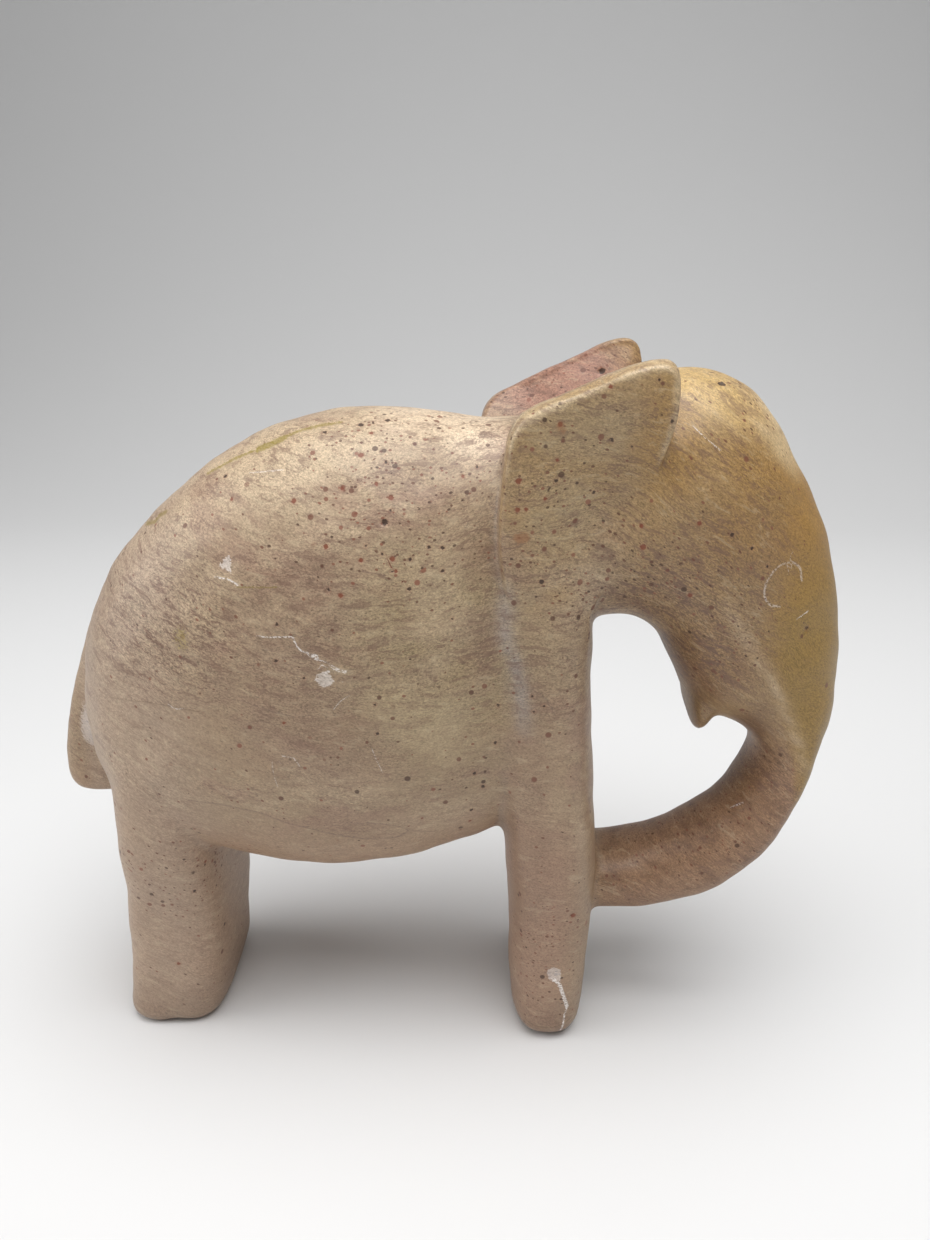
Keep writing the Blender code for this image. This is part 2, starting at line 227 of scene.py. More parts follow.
# %% The head's stations and surface
HEAD_WIDTH = 0.047
INNER_FULLNESS = 2.1
HEAD = (
    (0.120, 0.630, 0.125, 0.880, 0.80, 0.50, 2.6),
    (0.186, 0.641, 0.200, 0.930, 0.94, 0.48, 2.6),
    (0.232, 0.648, 0.288, 0.976, 0.98, 0.45, 2.4),
    (0.268, 0.626, 0.364, 0.949, 0.94, 0.42, 2.2),
    (0.287, 0.588, 0.417, 0.870, 0.87, 0.38, 2.0),
    (0.304, 0.551, 0.461, 0.785, 0.79, 0.38, 1.8),
    (0.321, 0.514, 0.486, 0.702, 0.72, 0.43, 1.7),
    (0.346, 0.500, 0.499, 0.620, 0.65, 0.50, 1.7),
    (0.374, 0.487, 0.503, 0.545, 0.59, 0.58, 1.7),
    (0.398, 0.467, 0.492, 0.461, 0.54, 0.66, 1.8),
    (0.406, 0.433, 0.474, 0.384, 0.50, 0.66, 1.9),
    (0.392, 0.393, 0.457, 0.323, 0.48, 0.62, 2.0),
    (0.362, 0.348, 0.417, 0.251, 0.46, 0.58, 2.1),
    (0.320, 0.313, 0.3653, 0.2026, 0.46, 0.52, 2.2),
    (0.271, 0.286, 0.3059, 0.1795, 0.46, 0.50, 2.2),
    (0.224, 0.274, 0.247, 0.1715, 0.46, 0.50, 2.2),
    (0.165, 0.268, 0.175, 0.170, 0.45, 0.50, 2.2),
)


def head_and_trunk():
    """The point lies on the line from the inner to the outer edge, at the share ridge + (1 - ridge) * up on
    the outer side and ridge + ridge * up on the inner one. y is half the width times the section's across."""
    in_x, in_z, out_x, out_z, width, ridge, fullness = spline(HEAD, count=150).T[:, :, None]
    across_in, up_in = superellipse(INNER_FULLNESS)
    across_out, up_out = superellipse(fullness)
    outside = up_out > 0
    share = np.where(outside, ridge + (1 - ridge) * up_out, ridge + ridge * up_in)
    y = np.where(outside, across_out, across_in) * width * HEAD_WIDTH / 2
    x = in_x + share * (out_x - in_x)
    z = in_z + share * (out_z - in_z)
    return shell("head", x * LENGTH, y, z * HEIGHT)


# %% The lower lip
LIP_SHARE = 0.42
LIP_TAPER = 0.5
LIP = (
    (0.304, 0.600),
    (0.306, 0.562),
    (0.315, 0.520),
    (0.323, 0.482),
    (0.332, 0.468),
    (0.343, 0.480),
    (0.354, 0.515),
    (0.352, 0.590),
)


def lip():
    """The side outline, shrunk towards its middle by the taper times the cube of the distance from the middle
    plane, and set at evenly spaced y."""
    outline = closed_spline(LIP, count=SIDES)
    middle = outline.mean(axis=0)
    turn = np.linspace(-1, 1, 15)[:, None]
    shrink = 1 - LIP_TAPER * abs(turn) ** 3
    x = middle[0] + shrink * (outline[:, 0] - middle[0])
    z = middle[1] + shrink * (outline[:, 1] - middle[1])
    return shell("lip", x * LENGTH, turn * LIP_SHARE * HEAD_WIDTH / 2, z * HEIGHT)


# %% [markdown]
# ## Tail
# The tail is a fin on the middle line of the rump. It flares backwards as it comes down and ends in a rounded
# corner, so level sections between a fixed root and a moving back edge are enough.

# %% The tail's stations and surface
TAIL_THICKNESS = 0.009
TAIL_ROOT = -0.400
TAIL_FULLNESS = 3.0
TAIL = (
    (0.353, -0.4840, 0.95),
    (0.374, -0.4990, 1.00),
    (0.400, -0.5010, 1.00),
    (0.450, -0.4950, 1.00),
    (0.510, -0.4800, 0.95),
    (0.570, -0.4620, 0.85),
    (0.640, -0.4380, 0.75),
    (0.700, -0.4080, 0.60),
)


def tail():
    """z follows the spline. x is the middle between root and back edge plus half their distance times the
    section's along, and y is half the thickness times its across."""
    height, back, share = spline(TAIL, count=40).T[:, :, None]
    across, along = superellipse(TAIL_FULLNESS)
    x = (back + TAIL_ROOT) / 2 + along * (TAIL_ROOT - back) / 2
    return shell("tail", x * LENGTH, across * share * TAIL_THICKNESS / 2, height * HEIGHT)


# %% [markdown]
# ## Ears
# Each ear is a thick leaf left standing on the neck. Its rear and top rims stand proud, with a flat cut along
# the rim that the carver left crisp, while its front and its lower end sink into the cheek. It is made as
# loops that shrink from the rim to the leaf's middle, on the inner face first and on the outer face next,
# with the cut between. The left ear of this carving reaches about 5 mm farther back than the right one.

# %% The ears' rim and surface
EAR_SPAN = 0.054
EAR_THICKNESS = 0.0055
EAR_RADIUS = 0.025
EAR_ROOT = 1.6
EAR_BEVEL = 0.0014
EAR_SINK = 0.0055
EAR_LOW_SINK = 0.0024
EAR_INSET = 0.0006
RIM_SINK = 0.0070
LEFT_EAR_REACH = 0.0055
REACH_IN_FRONT = 0.2
REACH_DROP = 0.55
TOP_CUT = 0.8
REAR_FADE = (0.09, 0.25)
FREE_FROM = (0.87, 0.94)
TOP_FROM = (0.80, 0.97)
FRONT_FROM = (0.09, 0.24)
LOW_FADE = (0.55, 0.85)
EAR_LOOPS = ((0.50, 0.0, 1.0), (0.97, 0.0, 1.0), (1.00, 0.5, 0.8), (1.00, 1.0, 0.0))
FACE_LOOPS = np.linspace(0.965, 0.05, 20)
EAR_MIDDLE = (0.165, 0.80)
EAR_RIM = (
    (0.095, 0.936),
    (0.079, 0.870),
    (0.075, 0.800),
    (0.080, 0.735),
    (0.096, 0.665),
    (0.120, 0.595),
    (0.148, 0.580),
    (0.170, 0.640),
    (0.205, 0.740),
    (0.237, 0.840),
    (0.256, 0.925),
    (0.260, 0.970),
    (0.250, 0.999),
    (0.222, 0.999),
    (0.180, 0.981),
    (0.125, 0.955),
)


def ear(name, side, reach, sink, inset):
    """Each loop is the rim drawn towards the middle, by its share of the way. The table has three shares for
    each of the first loops: of the way, of the cut and of the thickness. y is the side times the face's
    distance from the middle plane: half the span, less a sink that grows towards the front and the lower end,
    less the cut or the thickness that the loop lies under."""
    rim = closed_spline(EAR_RIM, count=120)
    rear = 1 - eased(rim[:, 0], *REAR_FADE)
    rim[:, 0] -= (REACH_IN_FRONT + (1 - REACH_IN_FRONT) * rear) * reach / LENGTH
    rim[:, 1] -= REACH_DROP * rear * reach / HEIGHT
    shrink = 1 - inset / EAR_RADIUS
    face = [(share, 0.0, 0.0) for share in FACE_LOOPS]
    share, cuts, depths = np.array([*EAR_LOOPS, *face]).T[:, :, None]
    x = EAR_MIDDLE[0] + share * shrink * (rim[:, 0] - EAR_MIDDLE[0])
    z = EAR_MIDDLE[1] + share * shrink * (rim[:, 1] - EAR_MIDDLE[1])
    free = eased(z, *FREE_FROM)
    top = eased(z, *TOP_FROM)
    front = eased(x, *FRONT_FROM) * (1 - top)
    low = 1 - eased(z, *LOW_FADE)
    thickness = (EAR_THICKNESS - 2 * inset) * (1 + EAR_ROOT * (1 - free))
    depth = inset + cuts * EAR_BEVEL * (1 + TOP_CUT * top) + depths * thickness
    y = side * (EAR_SPAN / 2 - sink * front - EAR_LOW_SINK * low - depth)
    return shell(name, x * LENGTH, y, z * HEIGHT)


# %% [markdown]
# ## One skin round all of it
# Files and sandpaper know nothing of separate parts: they leave one skin with softened inner corners. The
# Remesh modifier in voxel mode does the same. It fills the overlapping forms with small cubes and wraps them
# in one closed surface, and Smooth then relaxes it until the inner corners have the radius that sanding
# gives. The crisp rims of the ears are fused on afterwards with less relaxing, so that the flat cut along
# them stays.

# %% Putting things into the scene, and reading what modifiers made
def placed(name, data):
    """An object that shows a mesh, a lamp or a camera, linked into the scene."""
    made = bpy.data.objects.new(name, data)
    bpy.context.scene.collection.objects.link(made)
    return made


def settled(made):
    """The mesh that an object's modifiers make of it. The object itself is taken away."""
    mesh = bpy.data.meshes.new_from_object(made.evaluated_get(bpy.context.evaluated_depsgraph_get()))
    bpy.data.objects.remove(made)
    return mesh


# %% Fusing and relaxing
BLOCK_VOXEL = 0.0007
BLOCK_RELAX = 18
SKIN_VOXEL = 0.0005
SKIN_RELAX = 4


def fused(name, meshes, voxel, relax):
    """One closed skin round overlapping closed meshes, by voxels, relaxed by moving each point half-way to
    the middle of its neighbours, as often as relax says."""
    parts = [placed(name, mesh) for mesh in meshes]
    with bpy.context.temp_override(active_object=parts[0], selected_editable_objects=parts):
        bpy.ops.object.join()
    made = parts[0]
    remesh = made.modifiers.new("Fuse", "REMESH")
    remesh.mode = "VOXEL"
    remesh.voxel_size = voxel
    smooth = made.modifiers.new("Relax", "SMOOTH")
    smooth.factor = 0.5
    smooth.iterations = relax
    mesh = settled(made)
    mesh.name = name
    return mesh


forms = [
    torso(),
    leg_block("rear_legs", REAR_LEGS, REAR_WIDTH, REAR_ROUNDING),
    leg_block("front_legs", FRONT_LEGS, FRONT_WIDTH, FRONT_ROUNDING),
    head_and_trunk(),
    lip(),
    tail(),
    ear("right_ear", -1, 0.0, EAR_SINK, EAR_INSET),
    ear("left_ear", 1, LEFT_EAR_REACH, EAR_SINK, EAR_INSET),
]
block = fused("block", forms, BLOCK_VOXEL, BLOCK_RELAX)
print("block:", len(block.vertices), "points")
rims = [ear("right_rim", -1, 0.0, RIM_SINK, 0.0), ear("left_rim", 1, LEFT_EAR_REACH, RIM_SINK, 0.0)]
skin = fused("skin", [block, *rims], SKIN_VOXEL, SKIN_RELAX)
print("skin:", len(skin.vertices), "points")

# %% [markdown]
# ## What the file and the years left
# A hand-filed surface is never quite even, and this one has been handled: there are shallow scrapes, a pale
# rubbed ridge down the trunk and pits where dark grains fell out. These are worked out as one height for
# every point of the skin, as a sum of simple shapes, and each point then moves that far along its normal.
# From here on places are in millimetres in the object's own frame.

# %% Reading and moving points
def triples(items, field):
    """One row of three numbers for each item, read in one go."""
    values = np.empty(3 * len(items), np.float32)
    items.foreach_get(field, values)
    return values.reshape(-1, 3).astype(float)


def corners_of(mesh):
    return triples(mesh.vertices, "co")


def normals_of(mesh):
    return triples(mesh.vertex_normals, "vector")


def put_corners(mesh, corners):
    mesh.vertices.foreach_set("co", corners.astype(np.float32).ravel())
    mesh.update()


# %% Distance to a drawn line
def from_line(places, line):
    """For places (x, z) and a chain of straight stretches: the distance to the nearest stretch, with a sign
    that says on which side of it the place lies, and how far the place overshoots the chain's ends. The share
    along a stretch is the dot product with it over its squared length, and the side is the sign of the cross
    product."""
    line = np.array(line, float)
    start, way = line[:-1], np.diff(line, axis=0)
    reach = places[:, None, :] - start
    share = (reach * way).sum(-1) / (way * way).sum(-1)
    held = np.clip(share, 0, 1)
    gap = np.linalg.norm(reach - held[..., None] * way, axis=-1)
    nearest = gap.argmin(axis=1)
    row = np.arange(len(places))
    reach, share, way = reach[row, nearest], share[row, nearest], way[nearest]
    run = np.linalg.norm(way, axis=1)
    side = (way[:, 0] * reach[:, 1] - way[:, 1] * reach[:, 0]) / run
    before = np.where(nearest == 0, -share * run, 0)
    after = np.where(nearest == len(start) - 1, (share - 1) * run, 0)
    over = np.maximum(np.maximum(before, after), 0)
    beside = np.where(over > 0, side, np.sign(side) * gap[row, nearest])
    return beside, over


# %% The file's waves, the bank down the trunk, dents and pits
FILE_WAVES = (
    (0.10, (0.31, 0.22, 0.27), 0.4),
    (0.07, (-0.24, 0.30, 0.45), 1.9),
    (0.05, (0.52, -0.35, -0.38), 4.0),
    (0.03, (0.75, 0.60, 0.90), 2.6),
)
RIDGE = (
    (50.5, 108.6), (55.9, 105.4), (59.7, 99.1), (63.0, 93.8),
    (66.9, 88.8), (70.6, 81.7), (74.8, 73.3), (77.2, 66.2),
)
RIDGE_HEIGHT = 0.22
RIDGE_WIDTH = 1.4
DENTS = (
    ((-38.2, -25.0, 113.6), 2.0, 0.22),
    ((-19.6, -29.6, 93.0), 2.0, 0.22),
    ((25.6, -21.4, 19.4), 1.7, 0.30),
    ((28.8, -20.3, 9.5), 1.6, 0.25),
    ((-77.8, -4.6, 73.0), 3.0, 0.30),
    ((-61.0, -16.0, 1.0), 2.5, 0.50),
    ((16.6, -26.7, 119.9), 1.6, 0.15),
)
PITS = (
    ((-8.4, -23.7, 121.8), 0.55),
    ((32.0, -25.5, 137.2), 0.55),
    ((34.2, 18.9, 144.5), 0.55),
    ((54.0, -8.4, 145.2), 0.70),
    ((73.8, -13.8, 98.4), 0.50),
    ((-18.9, -27.7, 109.9), 0.50),
    ((29.3, -22.3, 35.7), 0.55),
)
PIT_DEPTH = 0.45
RIGHT_FROM = -3.0
BANK_FROM = 45


def seen(points):
    """Whether a point lies on the elephant's right side, which the camera sees."""
    return points[:, 1] < RIGHT_FROM


def file_height(points):
    """Millimetres in or out: a sum of long sine waves, plus a low bank along the trunk's ridge, less a
    bell-shaped hollow at each dent and a deeper one at each pit. A bell is e to the power of minus the
    squared distance in reaches."""
    height = np.zeros(len(points))
    for size, pace, start in FILE_WAVES:
        height += size * np.sin(points @ np.array(pace) + start)
    bank = np.flatnonzero(seen(points) & (points[:, 0] > BANK_FROM))
    beside, over = from_line(points[bank][:, [0, 2]], RIDGE)
    height[bank] += RIDGE_HEIGHT * np.exp(-((beside / RIDGE_WIDTH) ** 2 + (over / RIDGE_WIDTH) ** 2))
    for middle, reach, deep in (*DENTS, *((*pit, PIT_DEPTH) for pit in PITS)):
        height -= deep * np.exp(-((np.linalg.norm(points - middle, axis=1) / reach) ** 2))
    return height


corners = corners_of(skin)
height = file_height(1000 * corners)
put_corners(skin, corners + normals_of(skin) * height[:, None] / 1000)
print("relief, mm:", round(height.min(), 2), "to", round(height.max(), 2))

# %% [markdown]
# ## Sawn flat, thinned and fitted
# The feet stand on one flat saw cut, so everything below the ground plane is cut away and closed. Even stone
# needs far fewer faces than the ears' rims, and Decimate takes them away where the surface is flattest.
# Smoothing and filing took a hair off the outside, so the stone is brought back to the frame's box by the
# three ratios of the sides, all within half a percent of one.

# %% The saw cut
import bmesh

TRIANGLES = 196000


def sawn_flat(mesh):
    """The mesh above the ground plane, with the cut's rims filled by flat faces."""
    bm = bmesh.new()
    bm.from_mesh(mesh)
    everything = bm.verts[:] + bm.edges[:] + bm.faces[:]
    cut = bmesh.ops.bisect_plane(
        bm, geom=everything, plane_co=(0, 0, 0), plane_no=(0, 0, -1), clear_outer=True
    )
    cut_edges = [part for part in cut["geom_cut"] if isinstance(part, bmesh.types.BMEdge)]
    bmesh.ops.edgeloop_fill(bm, edges=cut_edges)
    bmesh.ops.recalc_face_normals(bm, faces=bm.faces)
    bm.to_mesh(mesh)
    bm.free()
    return mesh


# %% Thinning and fitting
sawn = placed("sawn", sawn_flat(skin))
sawn.data.calc_loop_triangles()
thin = sawn.modifiers.new("Thin", "DECIMATE")
thin.ratio = min(1.0, TRIANGLES / len(sawn.data.loop_triangles))
print("triangles before thinning:", len(sawn.data.loop_triangles))
stone_mesh = settled(sawn)

corners = corners_of(stone_mesh)
low, high = corners.min(axis=0), corners.max(axis=0)
target_low, target_high = np.array(cad_low), np.array(cad_high)
ratio = (target_high - target_low) / (high - low)
put_corners(stone_mesh, target_low + (corners - low) * ratio)
stone_mesh.name = "carved_elephant"
stone_mesh.shade_smooth()
stone_mesh.calc_loop_triangles()
elephant = placed("carved_elephant", stone_mesh)
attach(elephant, "root")
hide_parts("elephant")
print("stone:", len(stone_mesh.loop_triangles), "triangles, fitted by", np.round(ratio, 4))

# %% [markdown]
# ## What each point of the stone knows
# The colour of the stone changes slowly from place to place and quickly from grain to grain. What changes
# slowly is worked out here, once for every point of the mesh, and kept on the mesh as attributes. The
# material then only adds the fine grain. That keeps the node tree short, and a short tree renders fast. The
# first attribute is how far a point stands out: handling polishes rims, the upper rims also get painted light,
# and the hollows get painted shade. It can be measured: relax a copy of the mesh, and see how far each point
# moved along its normal.

# %% Rims and hollows
points = 1000 * corners_of(stone_mesh)
x, y, z = points.T
right_side = np.flatnonzero(seen(points))
side_view = points[right_side][:, [0, 2]]
FIELDS = {"FLOAT": "value", "FLOAT_VECTOR": "vector", "FLOAT_COLOR": "color"}


def keep(name, kind, values):
    """Keeps one value, vector or colour for each point of the stone."""
    made = stone_mesh.attributes.new(name, kind, "POINT")
    made.data.foreach_set(FIELDS[kind], values.astype(np.float32).ravel())


def share_where(mask):
    """The share of the points where a mask holds."""
    return round(float(mask.mean()), 3)


def standing_out(mesh, rounds, full):
    """Each round moves every point of a copy to the average of its edge neighbours. The distance that a point
    has been drawn in along its normal, over the distance that counts as full, is its share."""
    ends = np.empty(2 * len(mesh.edges), np.int32)
    mesh.edges.foreach_get("vertices", ends)
    first, second = ends.reshape(-1, 2).T
    start = 1000 * corners_of(mesh)
    count = len(start)
    met = np.bincount(first, minlength=count) + np.bincount(second, minlength=count)
    moved = start.copy()
    for _ in range(rounds):
        total = np.empty_like(moved)
        for axis in range(3):
            there = moved[:, axis]
            total[:, axis] = np.bincount(first, there[second], count)
            total[:, axis] += np.bincount(second, there[first], count)
        moved = total / met[:, None]
    drawn = ((start - moved) * normals_of(mesh)).sum(axis=1)
    return np.clip(drawn / full, -1, 1)


proud = standing_out(stone_mesh, rounds=8, full=0.25)
keep("standing_out", "FLOAT", proud)
print("standing out:", share_where(proud > 0.5), "hollow:", share_where(proud < -0.5))

# %% [markdown]
# ## Bedding
# The stone was laid down in beds, and its fibres follow them: level on the flank, falling towards the head
# over the rump, and falling more steeply through the head. The bedding height of a point is its own height
# plus a slope that is added up along the body, with a little unevenness from clouds. Fibres are then noise
# that is stretched along the beds, and need no direction of their own.

# %% Clouds from a lattice of random numbers
LATTICE = 32


def clouds(places, size, seed, octaves=3):
    """Soft clouds from -1 to 1, about as large as size. Random numbers sit at the corners of a cubic lattice,
    and each place blends the eight corners of its cube by the smooth step 3s^2 - 2s^3 of its share along each
    side. Each further octave is half as large and half as strong."""
    table = np.random.default_rng(seed).uniform(-1, 1, (LATTICE, LATTICE, LATTICE))
    total, strength, whole = np.zeros(len(places)), 1.0, 0.0
    for _ in range(octaves):
        cell = np.floor(places / size).astype(int)
        share = eased(places / size - cell, 0, 1)
        for corner in np.ndindex(2, 2, 2):
            weight = np.where(corner, share, 1 - share).prod(axis=1)
            i, j, k = ((cell + corner) % LATTICE).T
            total += strength * weight * table[i, j, k]
        whole += strength
        size, strength = size / 2, strength / 2
    return total / whole


# %% The bedding coordinates
BEDDING_SLOPE = (
    (-90, 0.55), (-60, 0.50), (-40, 0.35), (-20, 0.10), (5, -0.08),
    (25, 0.05), (38, 0.35), (52, 0.65), (90, 0.60),
)
UNEVEN = 2.2
UNEVEN_SIZE = 16.0


def bedding(places):
    """Along, across and the bedding height. The slope is read off its table at each whole millimetre and
    added up along x, and clouds lift and lower the beds by a millimetre or two."""
    whole = np.arange(-100.0, 101.0)
    at, slope = np.array(BEDDING_SLOPE, float).T
    rise = np.cumsum(np.interp(whole, at, slope))
    uneven = UNEVEN * clouds(places, UNEVEN_SIZE, seed=11, octaves=2)
    height = places[:, 2] + np.interp(places[:, 0], whole, rise) + uneven
    return np.column_stack([places[:, 0], places[:, 1], height])


beds = bedding(points)
keep("bedding", "FLOAT_VECTOR", beds)
print("bedding height, mm:", np.round(beds[:, 2].min()), "to", np.round(beds[:, 2].max()))

# %% [markdown]
# ## Clouds of colour
# Soapstone of this kind is cream to buff, clouded with pink and grey olive. It turns yellow ochre over the
# forehead and the front of the trunk, where a clean edge runs down beside the rubbed ridge, and pink brown
# through the curl of the trunk. Each colour is laid over the one before by a share between 0 and 1.

# %% Painting with shares
def paint(red, green, blue):
    """A colour as a screen gives it, from 0 to 255, turned into the linear light that shaders add up."""
    seen_as = np.array([red, green, blue]) / 255
    return np.where(seen_as <= 0.04045, seen_as / 12.92, ((seen_as + 0.055) / 1.055) ** 2.4)


def egg(middle, reach):
    """1 well inside an egg-shaped region and 0 outside it, with an uneven edge: the distance from its middle,
    with each axis measured in reaches."""
    away = np.linalg.norm((points - middle) / np.array(reach, float), axis=1)
    return eased(away + 0.22 * mottle, 1.0, 0.35)


slow = clouds(beds / (1, 1, 0.6), 22.0, seed=1)
mottle = clouds(beds / (1, 1, 0.45), 9.0, seed=2)
small_mottle = clouds(beds / (1, 1, 0.4), 4.0, seed=3)
hue = clouds(beds / (1, 1, 0.5), 14.0, seed=4)

BUFF = paint(160, 137, 111)
CREAM = paint(197, 175, 146)
PINK = paint(153, 122, 104)
OLIVE = paint(149, 131, 94)
EAR_TAN = paint(165, 135, 91)
OCHRE_TOP = paint(198, 167, 113)
OCHRE = paint(163, 125, 69)
OCHRE_DEEP = paint(144, 117, 64)
CURL_PINK = paint(152, 119, 93)
TRUNK_BROWN = paint(133, 99, 71)
DARKER_LOW = paint(112, 90, 74)
BROWN_AND_SHADE = paint(106, 77, 58)
NECK_PAINTED_LIGHT = paint(222, 200, 172)
CROWN_CREAM = paint(218, 192, 148)
FAR_PINK = paint(159, 118, 99)
CHEEK_BROWN = paint(132, 104, 82)
FLANK_SHADE = paint(140, 114, 94)
REAR_CREAM = paint(172, 150, 130)
OLIVE_CREAM = paint(176, 156, 124)
LEG_PINK = paint(164, 134, 109)
RUBBED_RIDGE = paint(190, 166, 134)
RUBBED_AND_LIT_RIM = paint(214, 194, 162)
VALLEY_GREY = paint(151, 142, 137)
HOLLOW_SHADE = paint(132, 116, 105)

coat = np.tile(BUFF, (len(points), 1))


def lay(new, share):
    """Lays a colour over the stone, by its share at each point."""
    coat[:] += np.clip(share, 0, 1)[:, None] * (new - coat)


def lay_eggs(rows):
    """Lays an egg for each row: colour, middle, reach, share, and how far small clouds vary the share."""
    for new, middle, reach, share, varied in rows:
        lay(new, egg(middle, reach) * (share + varied * small_mottle))


# %% The broad clouds of the body, the legs and the head, with painted light on the tops and painted shade on the flank
low_down = eased(z, 66, 46) * eased(x, 34, 24)
# The second share lays cream towards the top of the back: partly paler stone, partly painted light on the
# upward faces.
lay(CREAM, eased(slow, -0.1, 0.5) * 0.35 + eased(z + 3 * mottle, 104, 130) * eased(x, 6, -10) * 0.8)
lay(PINK, eased(hue + 0.4 * small_mottle, 0.0, 0.5) * 0.5)
lay(OLIVE, egg((2, -26, 96), (30, 26, 34)) * (0.45 + 0.35 * mottle))
lay_eggs([(PINK, (-6, -10, 126), (18, 30, 12), 0.25, 0.5)])
lay(LEG_PINK, low_down * (0.75 + 0.3 * mottle))
lay(PINK, low_down * eased(x, 0, 6) * 0.5)
lay_eggs([(EAR_TAN, (26, -30, 132), (22, 16, 34), 0.85, 0.0)])
lay(EAR_TAN, eased(x + 3 * mottle, 30, 42) * 0.85)
lay(OCHRE, eased(x + 4 * mottle, 46, 58) * eased(z, 104, 118) * 0.6)
lay_eggs([(OCHRE_TOP, (54, 0, 150), (26, 40, 18), 1.0, 0.0)])
lay(CHEEK_BROWN, eased(x + 3 * mottle, 34, 46) * eased(z, 132, 116) * (0.35 + 0.3 * small_mottle))
lay_eggs((
    (CHEEK_BROWN, (42, 0, 108), (18, 40, 12), 0.55, 0.4),
    (OLIVE_CREAM, (-1, -28, 84), (15, 20, 13), 0.45, 0.3),
    (OLIVE_CREAM, (24, -27, 124), (10, 12, 12), 0.50, 0.4),
    # The FLANK_SHADE rows are painted shade: on the flank, in the crease between body and front leg, and on
    # the front leg's side that the window lamp lights.
    (FLANK_SHADE, (-26, -28, 94), (20, 20, 30), 0.45, 0.5),
    (FLANK_SHADE, (-18, -28, 76), (18, 20, 12), 0.40, 0.0),
    (FLANK_SHADE, (19, -24, 52), (7, 14, 55), 0.50, 0.0),
    (FLANK_SHADE, (-22, -26, 112), (17, 16, 9), 0.30, 0.4),
    (FLANK_SHADE, (10, -26, 99), (6, 12, 12), 0.50, 0.0),
))
lay(REAR_CREAM, eased(x + 3 * mottle, -40, -58) * eased(x, -81, -77) * 0.7)
lay_eggs((
    (CREAM, (5, -18, 130), (10, 20, 12), 0.20, 0.0),
    # These two rows are painted light: the upward face of the neck behind the ear is laid paler.
    (NECK_PAINTED_LIGHT, (2, -2, 140), (18, 26, 7), 0.80, 0.0),
    (NECK_PAINTED_LIGHT, (8, -12, 137), (9, 14, 8), 0.80, 0.0),
    (CREAM, (2, -27, 106), (8, 14, 18), 0.30, 0.0),
    (OLIVE_CREAM, (28, -27, 139), (14, 10, 9), 0.45, 0.0),
))

# %% The ochre front and the curl of the trunk
FRONT_EDGE = (
    (50, 79.5), (66, 77.2), (73, 75), (82, 70.7), (89, 66.9),
    (99, 64.5), (108, 66), (118, 66), (128, 62), (150, 58),
)
SOFT_HEIGHTS = (76, 88, 104, 130)
SOFT_WIDTHS = (3.0, 6.0, 9.0, 10.0)


def beyond(edge):
    """How far a point lies in front of an edge that is given as x at heights z."""
    heights, forward = np.array(edge, float).T
    return x - np.interp(z, heights, forward)


softness = np.interp(z, SOFT_HEIGHTS, SOFT_WIDTHS)
front = np.clip((beyond(FRONT_EDGE) + 2.5 + 2.0 * small_mottle * eased(z, 80, 100)) / softness, 0, 1)
front = front * eased(z, 44, 60)
curl = eased(x, 30, 40) * eased(z + 2 * mottle, 80, 62)
lay(CURL_PINK, curl * 0.9)
lay(BROWN_AND_SHADE, curl * eased(small_mottle, 0.0, 0.4) * 0.45)
lay_eggs((
    (TRUNK_BROWN, (54, 0, 92), (15, 40, 15), 0.65, 0.5),
    (BROWN_AND_SHADE, (68.5, -12, 91), (5, 14, 7), 0.60, 0.5),
    # The tan row at the curl's top is painted light on the curl's upward face.
    (EAR_TAN, (60, 0, 61), (13, 20, 7), 0.35, 0.0),
    # The next row is brown stone darkened further by painted shade inside the curl, under the head by the lip.
    (BROWN_AND_SHADE, (66, 0, 78), (7, 20, 13), 0.80, 0.0),
    (TRUNK_BROWN, (67, 0, 58), (9, 20, 12), 0.50, 0.5),
))
lay(OCHRE, front)
lay(OCHRE_DEEP, front * eased(z, 125, 95) * 0.8)
FAR_EAR = ((26, 20, 141), (24, 9, 18))
lay_eggs((
    # The first row is painted shade: the notch between the ear's front and the head is laid darker.
    (OCHRE, (43, -22, 138), (10, 14, 15), 0.60, 0.0),
    (CROWN_CREAM, (66, -2, 138), (13, 18, 14), 0.80, 0.0),
    (FAR_PINK, *FAR_EAR, 1.0, 0.0),
))
lay(CREAM, egg(*FAR_EAR) * eased(small_mottle, 0.1, 0.5) * 0.35)
# The feet are laid darker towards the bottom.
lay(DARKER_LOW, eased(z, 18, 3) * 0.35)

# %% Rubbed rims with painted light where they face up, the rubbed ridge, painted shade in the hollows
VALLEY = ((13.8, 107.4), (14.1, 99.6), (15.7, 95.6), (16.7, 91.6), (17.8, 83.1))


def along_line(line, wide, past):
    """1 on a line down the right side, fading as a bell across it and past its ends."""
    share = np.zeros(len(points))
    beside, over = from_line(side_view, line)
    share[right_side] = np.exp(-((beside / wide) ** 2 + (over / past) ** 2))
    return share


lay(RUBBED_RIDGE, along_line(RIDGE[1:], 1.5, 2.0) * (0.45 + 0.5 * small_mottle))
# The pale upper rims are partly rubbed wear and partly painted light where they face up.
lay(RUBBED_AND_LIT_RIM, eased(proud, 0.3, 1.0) * (0.5 + 0.3 * small_mottle) * eased(y, 12, 4) * eased(z, 128, 139))
lay(VALLEY_GREY, along_line(VALLEY, 1.8, 3.0) * (0.55 + 0.4 * small_mottle))
# Painted shade: the hollows are laid darker.
lay(HOLLOW_SHADE, eased(proud, -0.25, -0.9) * 0.35)
keep("stone_colour", "FLOAT_COLOR", np.column_stack([coat, np.ones(len(points))]))
print("mean colour:", np.round(coat.mean(axis=0), 3))

# %% [markdown]
# ## Where grains swarm and where fibres show
# Dark red-brown grains lie in swarms, on the upper flank, over the ear, round the gap and on the legs. The
# ochre front is nearly clean. Four shares are kept together, as the four parts of one colour: how crowded the
# grains are, how strong the wisps are, how clean the stone is, and how much powder lies on it.

